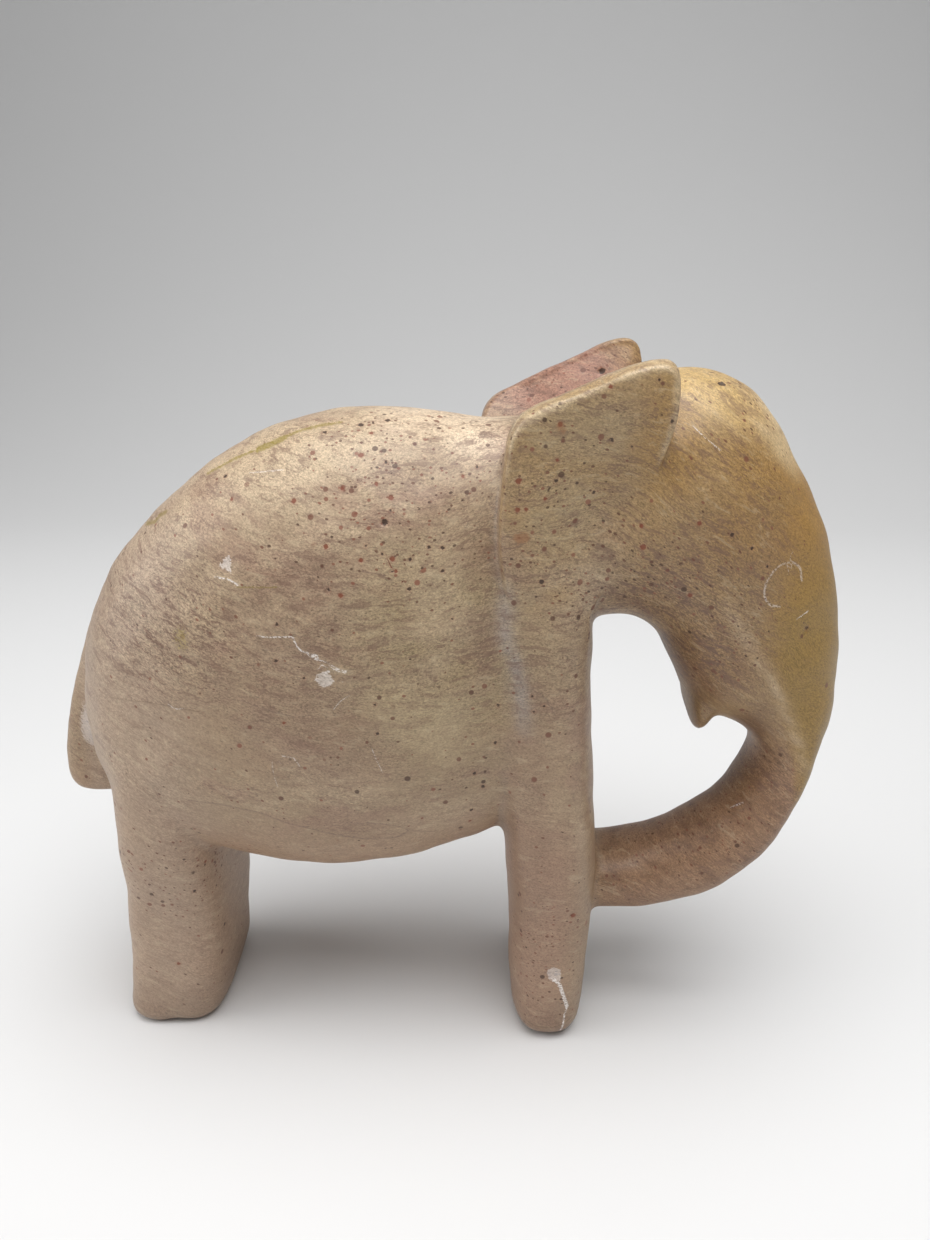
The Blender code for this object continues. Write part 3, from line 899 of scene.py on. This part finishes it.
# %% Habits of the stone
SWARMS = (
    (1.0, (-6, -14, 124), (24, 28, 26)),
    (1.0, (36, -16, 112), (26, 26, 16)),
    (0.8, (22, -26, 124), (16, 20, 24)),
    (1.0, (-56, -18, 42), (20, 26, 13)),
    (0.7, (26, -18, 24), (14, 26, 26)),
    (0.7, (62, -12, 98), (16, 20, 14)),
    (0.6, (56, -8, 46), (20, 20, 14)),
    (1.0, (26, 20, 140), (24, 10, 18)),
    (0.8, (62, -4, 141), (12, 16, 10)),
)
WISPY = (
    (0.35, (-50, -24, 100), (18, 30, 17)),
    (0.30, (46, 0, 108), (26, 40, 20)),
    (0.40, (54, 0, 93), (14, 40, 14)),
    (0.25, (44, -18, 104), (14, 20, 10)),
)


def eggs(rows):
    """One row of shares for each row of the table: its strength times its egg."""
    return np.array([strength * egg(middle, reach) for strength, middle, reach in rows])


swarm = np.clip(0.13 + eggs(SWARMS).max(axis=0) * (0.75 + 0.6 * small_mottle), 0, 1)
swarm = swarm * (1 - 0.75 * front * eased(z, 134, 124))
wisps = 0.35 + 0.35 * mottle + 0.25 * eased(z, 80, 96) + 0.35 * curl + eggs(WISPY).sum(axis=0)
wisps = wisps * (1 - 0.35 * eased(z, 66, 50)) * (1 - 0.75 * front)
on_right = seen(points)
rubbed_tail = egg((-77.5, -4.6, 70), (3.5, 5, 8)) * on_right
keep("habit", "FLOAT_COLOR", np.column_stack([swarm, np.clip(wisps, 0, 1), front, rubbed_tail]))
print("crowded:", share_where(swarm > 0.5), "wispy:", share_where(wisps > 0.6))

# %% [markdown]
# ## Drawn lines and patches
# A vein or a scratch is far thinner than a face, so it can't be painted on points. But a distance can: it
# changes evenly across a face, and so a point that keeps how far it lies to one side of a line is enough to
# find the line's exact course inside the face. The material draws the line where that distance is less than
# the line's half width. Two such attributes are kept, one for the veins and cracks and one for the white
# scratches.

# %% Keeping distances to lines
LINE_REACH = 1.5
LINE_FADE = 2.6
FAR_AWAY = 9.0


def keep_lines(name, lines):
    """Keeps four parts for each point near a line: the signed distance to it, its half width, its tint and
    how surely the point belongs to it, which fades beyond the line's reach and past its ends."""
    values = np.zeros((len(points), 4))
    values[:, 0] = FAR_AWAY
    nearest = np.full(len(side_view), np.inf)
    for half_width, tint, line in lines:
        beside, over = from_line(side_view, line)
        away = np.hypot(beside, over)
        mine = np.flatnonzero((away < nearest) & (away < LINE_FADE + 1))
        nearest[mine] = away[mine]
        sure = eased(abs(beside), LINE_FADE, LINE_REACH) * eased(over, 1.1, 0.1)
        rows = np.column_stack(np.broadcast_arrays(beside, half_width, tint, sure))
        values[right_side[mine]] = rows[mine]
    keep(name, "FLOAT_COLOR", values)
    print(name + ":", len(lines), "lines,", int((values[:, 3] > 0).sum()), "points")


VEINS = (
    (0.20, 0.0, ((-49.2, 64.2), (-41.3, 63.8), (-35.4, 63.0), (-29.8, 60.7), (-25.3, 59.3), (-20.3, 57.1))),
    (0.26, 0.0, ((-20.3, 57.1), (-14.7, 55.6), (-8.3, 55.4), (-4.7, 57.3))),
    (0.18, 0.0, ((-17.1, 60.5), (-11.4, 60.2), (-6.9, 58.9), (-4.1, 57.2), (-0.2, 56.1))),
    (0.16, 0.2, ((-63.7, 85.1), (-55.8, 85.8), (-49.7, 85.3), (-45.6, 84.9))),
    (0.16, 0.0, ((-35.5, 87.9), (-30.0, 86.1), (-26.7, 85.3))),
    (0.15, 0.0, ((-12.0, 113.2), (-8.7, 112.6), (-7.4, 111.6))),
    (0.14, 0.7, ((-35.4, 109.9), (-28.9, 110.2))),
    (0.30, 0.8, ((-57.7, 117.5), (-55.0, 118.6), (-54.3, 119.7), (-53.0, 120.4))),
    (0.20, 1.0, ((-44.1, 128.0), (-38.7, 130.9), (-35.5, 132.2))),
    (0.46, 1.0, ((-33.5, 132.9), (-31.0, 133.9), (-28.0, 135.3))),
    (0.18, 1.0, ((-28.0, 135.3), (-26.2, 136.1), (-21.9, 137.1), (-18.4, 137.6))),
    (0.14, 0.0, ((40.5, 110.5), (47.5, 107.2), (54.5, 101.8))),
    (0.15, 0.0, ((46.5, 101.5), (52.0, 97.2), (57.0, 91.5))),
    (0.14, 0.0, ((19.6, 89.5), (22.0, 87.6), (23.4, 85.0))),
    (0.13, 0.0, ((30.5, 123.2), (35.0, 121.8), (40.0, 122.6))),
    (0.20, 0.3, ((21.0, 4.6), (23.8, 3.9), (26.5, 4.3), (29.6, 5.6))),
)
keep_lines("vein", VEINS)
SCRATCHES = (
    (0.15, 0.8, ((-31.8, 101.0), (-30.1, 100.8), (-28.5, 101.0), (-25.4, 101.2), (-25.2, 100.2))),
    (0.16, 0.9, ((-24.9, 99.4), (-24.0, 98.4), (-22.6, 98.0), (-21.2, 97.6))),
    (0.11, 0.8, ((-21.5, 96.8), (-19.8, 96.5), (-18.3, 95.6), (-17.0, 94.9))),
    (0.17, 0.9, ((-39.1, 111.3), (-37.6, 111.2), (-36.3, 110.6))),
    (0.28, 0.8, ((-19.6, 94.2), (-18.2, 94.9), (-16.4, 94.6))),
    (0.40, 1.0, ((25.9, 18.0), (27.2, 16.6), (27.9, 14.0), (28.6, 11.6), (29.1, 9.6))),
    (0.22, 1.0, ((29.1, 9.6), (28.5, 7.4), (28.4, 5.0), (28.0, 3.2))),
    (0.09, 0.7, ((-33.9, 129.4), (-28.6, 130.1))),
    (0.09, 0.9, ((-50.8, 85.5), (-49.9, 84.9), (-48.9, 85.1))),
    (0.09, 0.8, ((-28.3, 76.6), (-26.6, 76.3), (-26.2, 75.6))),
    (0.09, 0.7, ((-11.3, 77.6), (-10.7, 75.8), (-9.8, 73.4))),
    (0.09, 0.7, ((-18.1, 87.2), (-17.2, 88.4), (-16.4, 88.9))),
    (0.09, 0.5, ((-31.0, 74.6), (-30.9, 72.4), (-30.5, 70.4))),
    (0.09, 0.9, ((47.8, 138.4), (49.6, 136.8), (51.7, 135.2))),
    (0.12, 1.0, ((71.7, 101.2), (72.9, 101.7))),
    (0.10, 0.8, ((64.8, 54.0), (66.0, 55.0))),
    (0.25, 0.42, ((68.7, 112.4), (70.2, 111.8), (71.1, 110.6), (71.4, 109.0))),
    (0.22, 0.36, ((68.6, 112.4), (66.6, 112.4), (64.9, 111.4), (63.6, 109.6))),
    (0.24, 0.44, ((63.5, 109.4), (63.2, 107.4), (63.8, 105.6), (65.2, 104.4), (66.4, 104.2))),
)
keep_lines("scratch", SCRATCHES)


# %% Patches
def inside(outline):
    """For points on the right side: how far they lie inside an outline of (x, z) corners, less than 0
    outside. A point is inside where every side of the outline, run clockwise, has it on the right hand."""
    turns = np.array(outline, float)
    way = np.roll(turns, -1, axis=0) - turns
    reach = side_view[:, None, :] - turns
    hand = (way[:, 1] * reach[..., 0] - way[:, 0] * reach[..., 1]) / np.linalg.norm(way, axis=1)
    return hand.min(axis=1)


POWDER = (
    ((-39.6, 113.4), (-37.7, 115.4), (-37.2, 115.0), (-37.2, 112.2)),
    ((-21.9, 93.2), (-20.4, 94.3), (-18.6, 93.8), (-18.2, 92.2), (-19.8, 91.0), (-21.2, 91.8)),
    ((24.2, 20.6), (25.6, 21.4), (27.2, 20.4), (27.2, 17.6), (25.8, 17.2), (24.4, 18.6)),
)
RUST = ((1.0, (16.6, -26.7, 119.9), (2.6, 5, 1.6)), (0.6, (23.0, -26.7, 139.6), (1.4, 5, 2.0)))
powder_depth = np.full(len(points), -1.0)
powder_depth[right_side] = np.clip(np.max([inside(outline) for outline in POWDER], axis=0), -1, 1)
green = egg((-47.6, -26, 99.5), (2.6, 6, 4.2)) * on_right * 0.7
rust = eggs(RUST).max(axis=0) * on_right
keep("patch", "FLOAT_COLOR", np.column_stack([powder_depth, green, rust, np.zeros(len(points))]))
print("powder patches:", len(POWDER), "over", int((powder_depth > 0).sum()), "points")

# %% [markdown]
# ## The large grains, one by one
# The largest grains are placed where they are on this stone, since an eye finds those again. Each point keeps
# the middle and the radius of the grain next to it, and the material measures from there, which gives a true
# round inside a face. Grains that are close together are dealt out to different layers, so that each point
# has one neighbour in a layer at most.

# %% Grains: x, y, z, radius
DARK_GRAINS = (
    (-8.4, -23.7, 121.8, 0.62), (-14.0, -10.4, 137.3, 0.62), (-9.0, -9.1, 137.9, 0.62),
    (-20.7, -11.9, 136.0, 0.55), (-39.6, -14.8, 128.2, 0.46), (-28.5, -28.6, 103.4, 0.36),
    (-29.0, -29.4, 96.3, 0.44), (-18.9, -27.7, 109.9, 0.52), (-3.7, -25.4, 115.3, 0.40),
    (-3.9, -26.6, 109.9, 0.42), (-7.4, -22.8, 123.8, 0.30), (-8.8, -25.7, 116.3, 0.36),
    (-7.0, -25.9, 113.1, 0.40), (-0.3, -24.2, 117.3, 0.36), (2.2, -23.9, 117.1, 0.36),
    (2.2, -24.9, 113.0, 0.38), (-8.6, -17.9, 131.7, 0.30), (8.3, -15.8, 130.6, 0.32),
    (-21.3, -25.4, 118.0, 0.25), (-11.8, -25.4, 117.8, 0.28), (-23.8, -29.7, 93.0, 0.30),
    (-10.6, -29.3, 87.7, 0.26), (-10.3, -29.3, 81.5, 0.38), (-44.5, -27.8, 88.7, 0.25),
    (32.0, -25.5, 137.2, 0.60), (39.4, -27.0, 147.9, 0.28), (34.2, 18.9, 144.5, 0.70),
    (42.2, -26.1, 140.8, 0.36), (22.6, -26.0, 130.2, 0.40), (35.8, -24.8, 136.0, 0.38),
    (54.0, -8.4, 145.2, 0.80), (61.2, -6.7, 142.0, 0.28), (73.8, -13.8, 98.4, 0.45),
    (63.3, -18.4, 112.5, 0.30), (55.4, -21.4, 119.4, 0.42), (59.7, -19.9, 116.4, 0.40),
    (20.5, -25.4, 111.2, 0.50), (12.8, -25.2, 85.9, 0.40), (19.3, -25.8, 88.2, 0.36),
    (19.7, -25.7, 84.9, 0.32), (21.6, -25.7, 86.2, 0.30), (8.3, -25.3, 71.0, 0.46),
    (10.0, -24.1, 67.4, 0.50), (7.6, -22.9, 61.5, 0.38), (12.3, -25.1, 77.9, 0.36),
    (-49.3, -12.1, 24.0, 0.45), (-52.4, -20.3, 38.6, 0.40), (29.5, -23.7, 127.7, 0.36),
    (-31.5, -22.5, 125.0, 0.22), (-44.0, -12.0, 126.0, 0.22), (-24.0, -15.5, 131.8, 0.30),
    (4.0, -26.0, 104.0, 0.26),
)
RED_GRAINS = (
    (-25.3, -22.0, 125.2, 0.52), (-16.4, -21.2, 127.4, 0.40), (-10.1, -20.6, 128.3, 0.40),
    (-7.4, -21.7, 125.9, 0.50), (-12.7, -26.2, 115.2, 0.42), (-7.0, -25.7, 115.4, 0.58),
    (-6.3, -26.2, 113.2, 0.40), (-16.4, -27.8, 108.9, 0.46), (-19.1, -25.7, 117.6, 0.50),
    (-13.3, -17.0, 132.8, 0.55), (-13.6, 1.0, 139.1, 0.42), (-11.8, -12.7, 136.2, 0.42),
    (5.7, -17.5, 129.1, 0.38), (-37.6, -19.1, 124.8, 0.36), (-28.1, -29.9, 83.8, 0.36),
    (15.9, -27.0, 130.3, 0.62), (22.6, -26.3, 133.9, 0.42), (22.9, -26.7, 140.3, 0.50),
    (31.3, -26.9, 146.7, 0.40), (20.7, -26.3, 127.0, 0.42), (15.8, -26.9, 125.1, 0.50),
    (17.3, -26.9, 125.2, 0.42), (49.1, -22.5, 121.8, 0.52), (38.5, -22.8, 121.3, 0.42),
    (39.1, -22.8, 117.3, 0.60), (48.8, -20.6, 107.4, 0.52), (7.2, -21.4, 58.0, 0.40),
    (-58.3, -18.9, 18.1, 0.45), (29.3, -22.3, 35.7, 0.62), (41.5, -24.9, 127.0, 0.40),
    (44.8, -22.0, 118.5, 0.40), (61.5, -18.0, 121.5, 0.36), (65.0, -17.5, 102.0, 0.34),
    (24.0, -19.5, 36.0, 0.34), (-62.0, -16.5, 46.0, 0.36), (-50.0, -18.0, 44.5, 0.40),
)
GRAIN_LAYERS = 3
GRAIN_REACH = 1.8
LAYER_GAP = 4.5


def keep_grains(grains):
    """Deals each grain to the first layer where no other grain is within the layer gap, or to the one whose
    nearest grain is farthest. A point keeps a grain if it lies within reach, and a radius below 0 if it
    doesn't, so that no grain is drawn between points that keep different ones."""
    layers = [[] for _ in range(GRAIN_LAYERS)]
    for grain in grains:
        gaps = [min([math.dist(grain[:3], other[:3]) for other in layer], default=99.0) for layer in layers]
        free = [i for i, gap in enumerate(gaps) if gap > LAYER_GAP]
        layers[free[0] if free else int(np.argmax(gaps))].append(grain)
    for number, layer in enumerate(layers):
        spots = np.array(layer)
        places = np.zeros((len(points), 3))
        traits = np.tile([-2.0, 0.0, 0.0, 0.0], (len(points), 1))
        away = np.linalg.norm(points[:, None, :] - spots[None, :, :3], axis=2)
        nearest = away.argmin(axis=1)
        mine = np.flatnonzero(away.min(axis=1) < spots[nearest, 3] + GRAIN_REACH)
        places[mine] = spots[nearest[mine], :3]
        traits[mine, 0] = spots[nearest[mine], 3]
        traits[mine, 1] = spots[nearest[mine], 4]
        keep(f"grain_place_{number}", "FLOAT_VECTOR", places)
        keep(f"grain_trait_{number}", "FLOAT_COLOR", traits)
        print("grain layer", number, "has", len(layer))


keep_grains([(*grain, 0.0) for grain in DARK_GRAINS] + [(*grain, 1.0) for grain in RED_GRAINS])

# %% [markdown]
# ## Shader maths as expressions
# A stone's fine grain is a sum of fibres, wisps and grains. Written node by node it would be unreadable, so
# one small class wraps a socket: adding or multiplying two of them adds the Math or Vector Math node that
# does it, and one method adds any other node.

# %% The wire
class Wire:
    """What comes out of one socket. Arithmetic with numbers, triples or other wires gives new wires."""

    def __init__(self, tree, socket=None):
        self.tree = tree
        self.socket = socket

    def put(self, kind, settings=None, inputs=None, output=0):
        """Adds a node: its settings are set first, then its inputs get values or links."""
        made = self.tree.nodes.new(kind)
        for name, value in (settings or {}).items():
            setattr(made, name, value)
        for name, value in (inputs or {}).items():
            if isinstance(value, Wire):
                self.tree.links.new(value.socket, made.inputs[name])
            else:
                made.inputs[name].default_value = value
        return Wire(self.tree, made.outputs[output] if len(made.outputs) else None)

    def other(self, output):
        """Another output of the same node."""
        return Wire(self.tree, self.socket.node.outputs[output])

    def joined(self, operation, first, second):
        operands = (first, second)
        wide = any(isinstance(o, tuple) or isinstance(o, Wire) and o.socket.type != "VALUE" for o in operands)
        if wide:
            operands = [(o, o, o) if isinstance(o, (int, float)) else o for o in operands]
        kind = "ShaderNodeVectorMath" if wide else "ShaderNodeMath"
        return self.put(kind, {"operation": operation}, dict(enumerate(operands)))

    def __abs__(self):
        return self.put("ShaderNodeMath", {"operation": "ABSOLUTE"}, {0: self})

    def most(self, other):
        return self.joined("MAXIMUM", self, other)

    def length(self):
        return self.put("ShaderNodeVectorMath", {"operation": "LENGTH"}, {0: self}, "Value")

    def parts(self):
        split = self.put("ShaderNodeSeparateXYZ", None, {0: self})
        return split, split.other(1), split.other(2)

    def eased(self, start, end):
        """0 at start and before, 1 at end and beyond, with a smooth step between. Start may be the larger."""
        settings = {"interpolation_type": "SMOOTHSTEP"}
        return self.put("ShaderNodeMapRange", settings, {"Value": self, "From Min": start, "From Max": end})


# %% The wire's operators, each with its reflected form, so that 1 - mask works
def operator(operation, reflected):
    """The method that Python calls for wire + operand, or for operand + wire if the form is reflected."""
    def method(wire, operand):
        return wire.joined(operation, *((operand, wire) if reflected else (wire, operand)))

    return method


for sign, operation in (("add", "ADD"), ("sub", "SUBTRACT"), ("mul", "MULTIPLY"), ("truediv", "DIVIDE")):
    setattr(Wire, f"__{sign}__", operator(operation, False))
    setattr(Wire, f"__r{sign}__", operator(operation, True))


# %% Reading the mesh, mixing, noise
def kept(name, output="Vector"):
    """A vector or colour that the points keep. Alpha gives a colour's fourth part, and Fac a single value."""
    return graph.put("ShaderNodeAttribute", {"attribute_name": name}, None, output)


def mixed(below, above, share):
    """Share 0 shows the colour below, share 1 the colour above."""
    below, above = [(*side, 1.0) if isinstance(side, np.ndarray) else side for side in (below, above)]
    return share.put("ShaderNodeMix", {"data_type": "RGBA"}, {0: share, 6: below, 7: above}, 2)


def noise(place, size, detail, rough, swirl):
    """Clouds as large as size says for each axis, whose value lies round 0.5. The swirl bends them, so that
    they don't run as hairs."""
    scaled = place * tuple(1 / side for side in size)
    inputs = {"Vector": scaled, "Scale": 1.0, "Detail": detail, "Roughness": rough, "Distortion": swirl}
    return place.put("ShaderNodeTexNoise", None, inputs)


def grains(place, cell, largest, chance):
    """Round grains scattered through the stone. Space is split into uneven cells with one grain in each, and
    two of a cell's random numbers say whether the grain is there and how large it is. Gives 1 inside a grain,
    and the cell's third random number, which says how red it is."""
    distance = place.put("ShaderNodeTexVoronoi", None, {"Vector": place, "Scale": 1 / cell})
    there, size, red = distance.other("Color").parts()
    radius = (0.45 + 0.55 * size) * (largest / cell)
    inside_grain = (distance / radius).eased(1.1, 0.7)
    return inside_grain * (chance - there).eased(0.0, 0.02), red


# %% [markdown]
# ## The stone's fine grain
# The fibres are noise in bedding coordinates, divided by their length, depth and thickness: strokes of two or
# three millimetres, longer wisps of pinkish brown, and a felt of the finest needles. The same felt frays the
# edges of lines and patches, as powdered wax and stone have no smooth edge.

# %% Fibres, wisps and felt
STROKE_SIZE = (1.7, 1.7, 0.55)
WISP_SIZE = (4.4, 3.4, 1.3)
WISP_SHIFT = (0.0, 105.4, 9.1)
FELT_SIZE = (0.48, 0.48, 0.3)
DARK_WISP = paint(126, 94, 79)
PALE_WISP = paint(198, 180, 150)
NEEDLE = paint(100, 76, 66)

stone = bpy.data.materials.new("waxed_stone")
stone.use_nodes = True
stone.node_tree.nodes.clear()
graph = Wire(stone.node_tree)
here = graph.put("ShaderNodeTexCoord", None, None, "Object") * 1000.0
bed = kept("bedding")
crowd, wispy, clean = kept("habit").parts()
strokes = noise(bed, STROKE_SIZE, 3.0, 0.65, 1.2)
wisp = noise(bed + WISP_SHIFT, WISP_SIZE, 4.0, 0.65, 0.8)
felt = noise(bed, FELT_SIZE, 2.0, 0.7, 0.5)
grit = felt - 0.5

tone = 1.0 + ((strokes - 0.5) * 0.95 + grit * 2.00) * (0.45 + 0.85 * wispy + 0.25 * clean)
colour = kept("stone_colour") * tone
dark_wisp = wisp.eased(0.53, 0.61) * wispy
pale_wisp = wisp.eased(0.44, 0.32) * (1.0 - clean)
needles = (strokes + 0.6 * (wisp - 0.5)).eased(0.53, 0.58) * wispy
colour = mixed(colour, DARK_WISP, dark_wisp * 0.55)
colour = mixed(colour, PALE_WISP, pale_wisp * 0.26)
colour = mixed(colour, NEEDLE, needles * 0.62)

# %% Veins, grains and stains
VEIN_DARK = paint(104, 82, 76)
VEIN_GREEN = paint(138, 122, 48)
GRAIN_DARK = paint(60, 37, 27)
GRAIN_RED = paint(136, 82, 64)
CORE_DARK = paint(46, 29, 23)
CORE_RED = paint(126, 66, 45)
HALO = paint(150, 108, 84)
RUST_BROWN = paint(150, 98, 60)
STAIN_GREEN = paint(152, 136, 62)


def drawn(name, fray):
    """The two masks of a kept line: where the frayed distance is within the half width, and its tint."""
    side, half_width, tint = kept(name).parts()
    within = half_width - abs(side + grit * fray)
    return within.eased(-0.06, 0.10) * kept(name, "Alpha").eased(0.2, 0.6), tint


vein, vein_green = drawn("vein", 1.0)
vein_share = vein * (0.10 + 1.2 * strokes) * (0.5 + 0.5 * vein_green)
colour = mixed(colour, mixed(VEIN_DARK, VEIN_GREEN, vein_green), vein_share)

small, small_red = grains(bed * (1.0, 1.0, 1.35), 1.3, 0.42, 0.95 * crowd)
middling, middling_red = grains(here + (5.0, 3.0, 9.0), 2.5, 0.68, 0.85 * crowd)
colour = mixed(colour, mixed(GRAIN_DARK, GRAIN_RED, small_red), small * 0.80)
colour = mixed(colour, mixed(GRAIN_DARK, GRAIN_RED, middling_red), middling * 0.80)

holes = None
for number in range(GRAIN_LAYERS):
    radius, redness, _ = kept(f"grain_trait_{number}").parts()
    away = (here - kept(f"grain_place_{number}")).length() + grit * 0.5
    core = (radius - away).eased(-0.06, 0.14)
    halo = (radius - away).eased(-0.55, 0.1)
    colour = mixed(colour, HALO, halo * 0.35)
    colour = mixed(colour, mixed(CORE_DARK, CORE_RED, redness), core * 0.85)
    holes = core if holes is None else holes.most(core)

powdered, greened, rusted = kept("patch").parts()
colour = mixed(colour, RUST_BROWN, (rusted + grit * 0.8).eased(0.25, 0.75) * 0.55)
colour = mixed(colour, STAIN_GREEN, (greened + grit * 2.6).eased(0.50, 0.80) * 0.45)

# %% White scrapes
POWDER_WHITE = paint(240, 234, 230)
scratch, strength = drawn("scratch", 0.7)
scratch = scratch * strength * (felt + 0.04).eased(0.44, 0.58)
powder = (powdered + grit * 1.6).eased(-0.05, 0.10) * (0.25 + 1.0 * (felt - 0.3))
rub = (kept("habit", "Alpha") + grit * 1.5).eased(0.35, 0.95) * 0.45
white = scratch.most(powder).most(rub)
colour = mixed(colour, POWDER_WHITE, white * 0.85)

# %% [markdown]
# ## Wax, powder and pits
# The wax gives a low satin sheen. It is a little smoother on what hands have rubbed, and gone where the stone
# has powdered. A Bump node takes the finest relief, in millimetres: the strokes, the felt and the holes of
# the grains. Larger relief is already in the mesh.

# %% Roughness, bump and the shader
WAX_ROUGHNESS = 0.47
WAX_SPECULAR = 0.45
handled = kept("standing_out", "Fac").eased(0.2, 0.9)
rough = WAX_ROUGHNESS + grit * 0.12 + white * 0.28 - handled * 0.06 - clean * 0.05
relief = strokes * 0.014 + felt * 0.016 - holes * 0.05
bumped = relief.put("ShaderNodeBump", None, {"Strength": 1.0, "Distance": 0.001, "Height": relief})
inputs = {"Base Color": colour, "Roughness": rough, "Normal": bumped, "Specular IOR Level": WAX_SPECULAR}
shader = graph.put("ShaderNodeBsdfPrincipled", None, inputs)
graph.put("ShaderNodeOutputMaterial", None, {"Surface": shader})
elephant.data.materials.clear()
elephant.data.materials.append(stone)
print("stone nodes:", len(stone.node_tree.nodes))

# %% [markdown]
# ## Table, light and camera
# The stone stands on a pale sheet that sweeps up behind it without a corner, so there is no horizon line. The
# sheet is a profile carried along x: flat, a quarter circle, then upright. It isn't part of the object. A wide
# soft lamp hangs overhead, a little towards the camera: the back and the head catch its light, the side that
# faces the camera gets it at a glancing angle, and the shadow lies under the belly. A weaker lamp stands at
# the left, as a window would, and brightens the rump. Both are disks that point at the stone.

# %% The sheet
SHEET_HALF = 1.6
SHEET_FRONT = -1.2
BEND_START = 0.44
BEND_RADIUS = 0.50
SHEET_TOP = 1.7
SHEET_NEAR_ROW = -0.3
PAPER_GREY = 0.737
PAPER_ROUGHNESS = 0.85
bend = np.linspace(0, np.pi / 2, 25)
SHEET_BACK = BEND_START + BEND_RADIUS
bend_y = BEND_START + BEND_RADIUS * np.sin(bend)
profile_y = np.concatenate([[SHEET_FRONT, SHEET_NEAR_ROW], bend_y, [SHEET_BACK]])
profile_z = np.concatenate([[0, 0], BEND_RADIUS * (1 - np.cos(bend)), [SHEET_TOP]])
sheet_x = np.linspace(-SHEET_HALF, SHEET_HALF, 9)[:, None]
grid = np.stack(np.broadcast_arrays(sheet_x, profile_y, profile_z), axis=-1)
index = np.arange(grid.shape[0] * grid.shape[1]).reshape(grid.shape[:2])
quads = np.stack([index[:-1, :-1], index[1:, :-1], index[1:, 1:], index[:-1, 1:]], axis=-1).reshape(-1, 4)
sheet_mesh = bpy.data.meshes.new("pale_sheet")
sheet_mesh.from_pydata(grid.reshape(-1, 3).tolist(), [], quads.tolist())
sheet_mesh.shade_smooth()
sheet = placed("pale_sheet", sheet_mesh)
paper = bpy.data.materials.new("pale_paper")
paper.use_nodes = True
paper_shader = paper.node_tree.nodes["Principled BSDF"]
paper_shader.inputs["Base Color"].default_value = (PAPER_GREY, PAPER_GREY, PAPER_GREY, 1)
paper_shader.inputs["Roughness"].default_value = PAPER_ROUGHNESS
sheet_mesh.materials.append(paper)

# %% The lamps: name, place, width, watts, spread in degrees
LAMPS = (
    ("overhead_lamp", (0.11, -0.17, 0.94), 1.0, 6.9, 140),
    ("window_lamp", (-0.80, -0.18, 0.40), 0.8, 0.95, 80),
)
AIMED_AT = Vector((0, 0, 0.05))
ROOM_LIGHT = 0.21

for name, place, size, power, spread in LAMPS:
    lamp = bpy.data.lights.new(name, "AREA")
    lamp.shape = "DISK"
    lamp.size = size
    lamp.energy = power
    lamp.spread = math.radians(spread)
    hung = placed(name, lamp)
    hung.location = place
    hung.rotation_mode = "QUATERNION"
    hung.rotation_quaternion = (AIMED_AT - Vector(place)).to_track_quat("-Z", "Y")

room = bpy.data.worlds.new("soft_room")
room.use_nodes = True
room.node_tree.nodes["Background"].inputs["Color"].default_value = (1.0, 1.0, 1.0, 1)
room.node_tree.nodes["Background"].inputs["Strength"].default_value = ROOM_LIGHT
bpy.context.scene.world = room
bpy.context.scene.view_settings.view_transform = "Standard"

# %% The camera
FRAME_TALL = 1240
FOCAL_PIXELS = 1000.0
SENSOR = 36.0
CAMERA_PLACE = (0.01251, -0.20141, 0.16764)
CAMERA_DOWN = math.radians(20.0)
CAMERA_TURN = math.radians(2.0)
ahead = Vector((-math.sin(CAMERA_TURN), math.cos(CAMERA_TURN), 0))
looking = ahead * math.cos(CAMERA_DOWN) - Vector((0, 0, 1)) * math.sin(CAMERA_DOWN)
right = Vector((math.cos(CAMERA_TURN), math.sin(CAMERA_TURN), 0))
upward = ahead * math.sin(CAMERA_DOWN) + Vector((0, 0, 1)) * math.cos(CAMERA_DOWN)
lens = bpy.data.cameras.new("camera")
lens.sensor_width = SENSOR
lens.sensor_fit = "AUTO"
lens.lens = FOCAL_PIXELS / FRAME_TALL * SENSOR
lens.clip_start = 0.01
camera = placed("camera", lens)
camera.matrix_world = Matrix((
    (right.x, upward.x, -looking.x, CAMERA_PLACE[0]),
    (right.y, upward.y, -looking.y, CAMERA_PLACE[1]),
    (right.z, upward.z, -looking.z, CAMERA_PLACE[2]),
    (0, 0, 0, 1),
))
bpy.context.scene.camera = camera
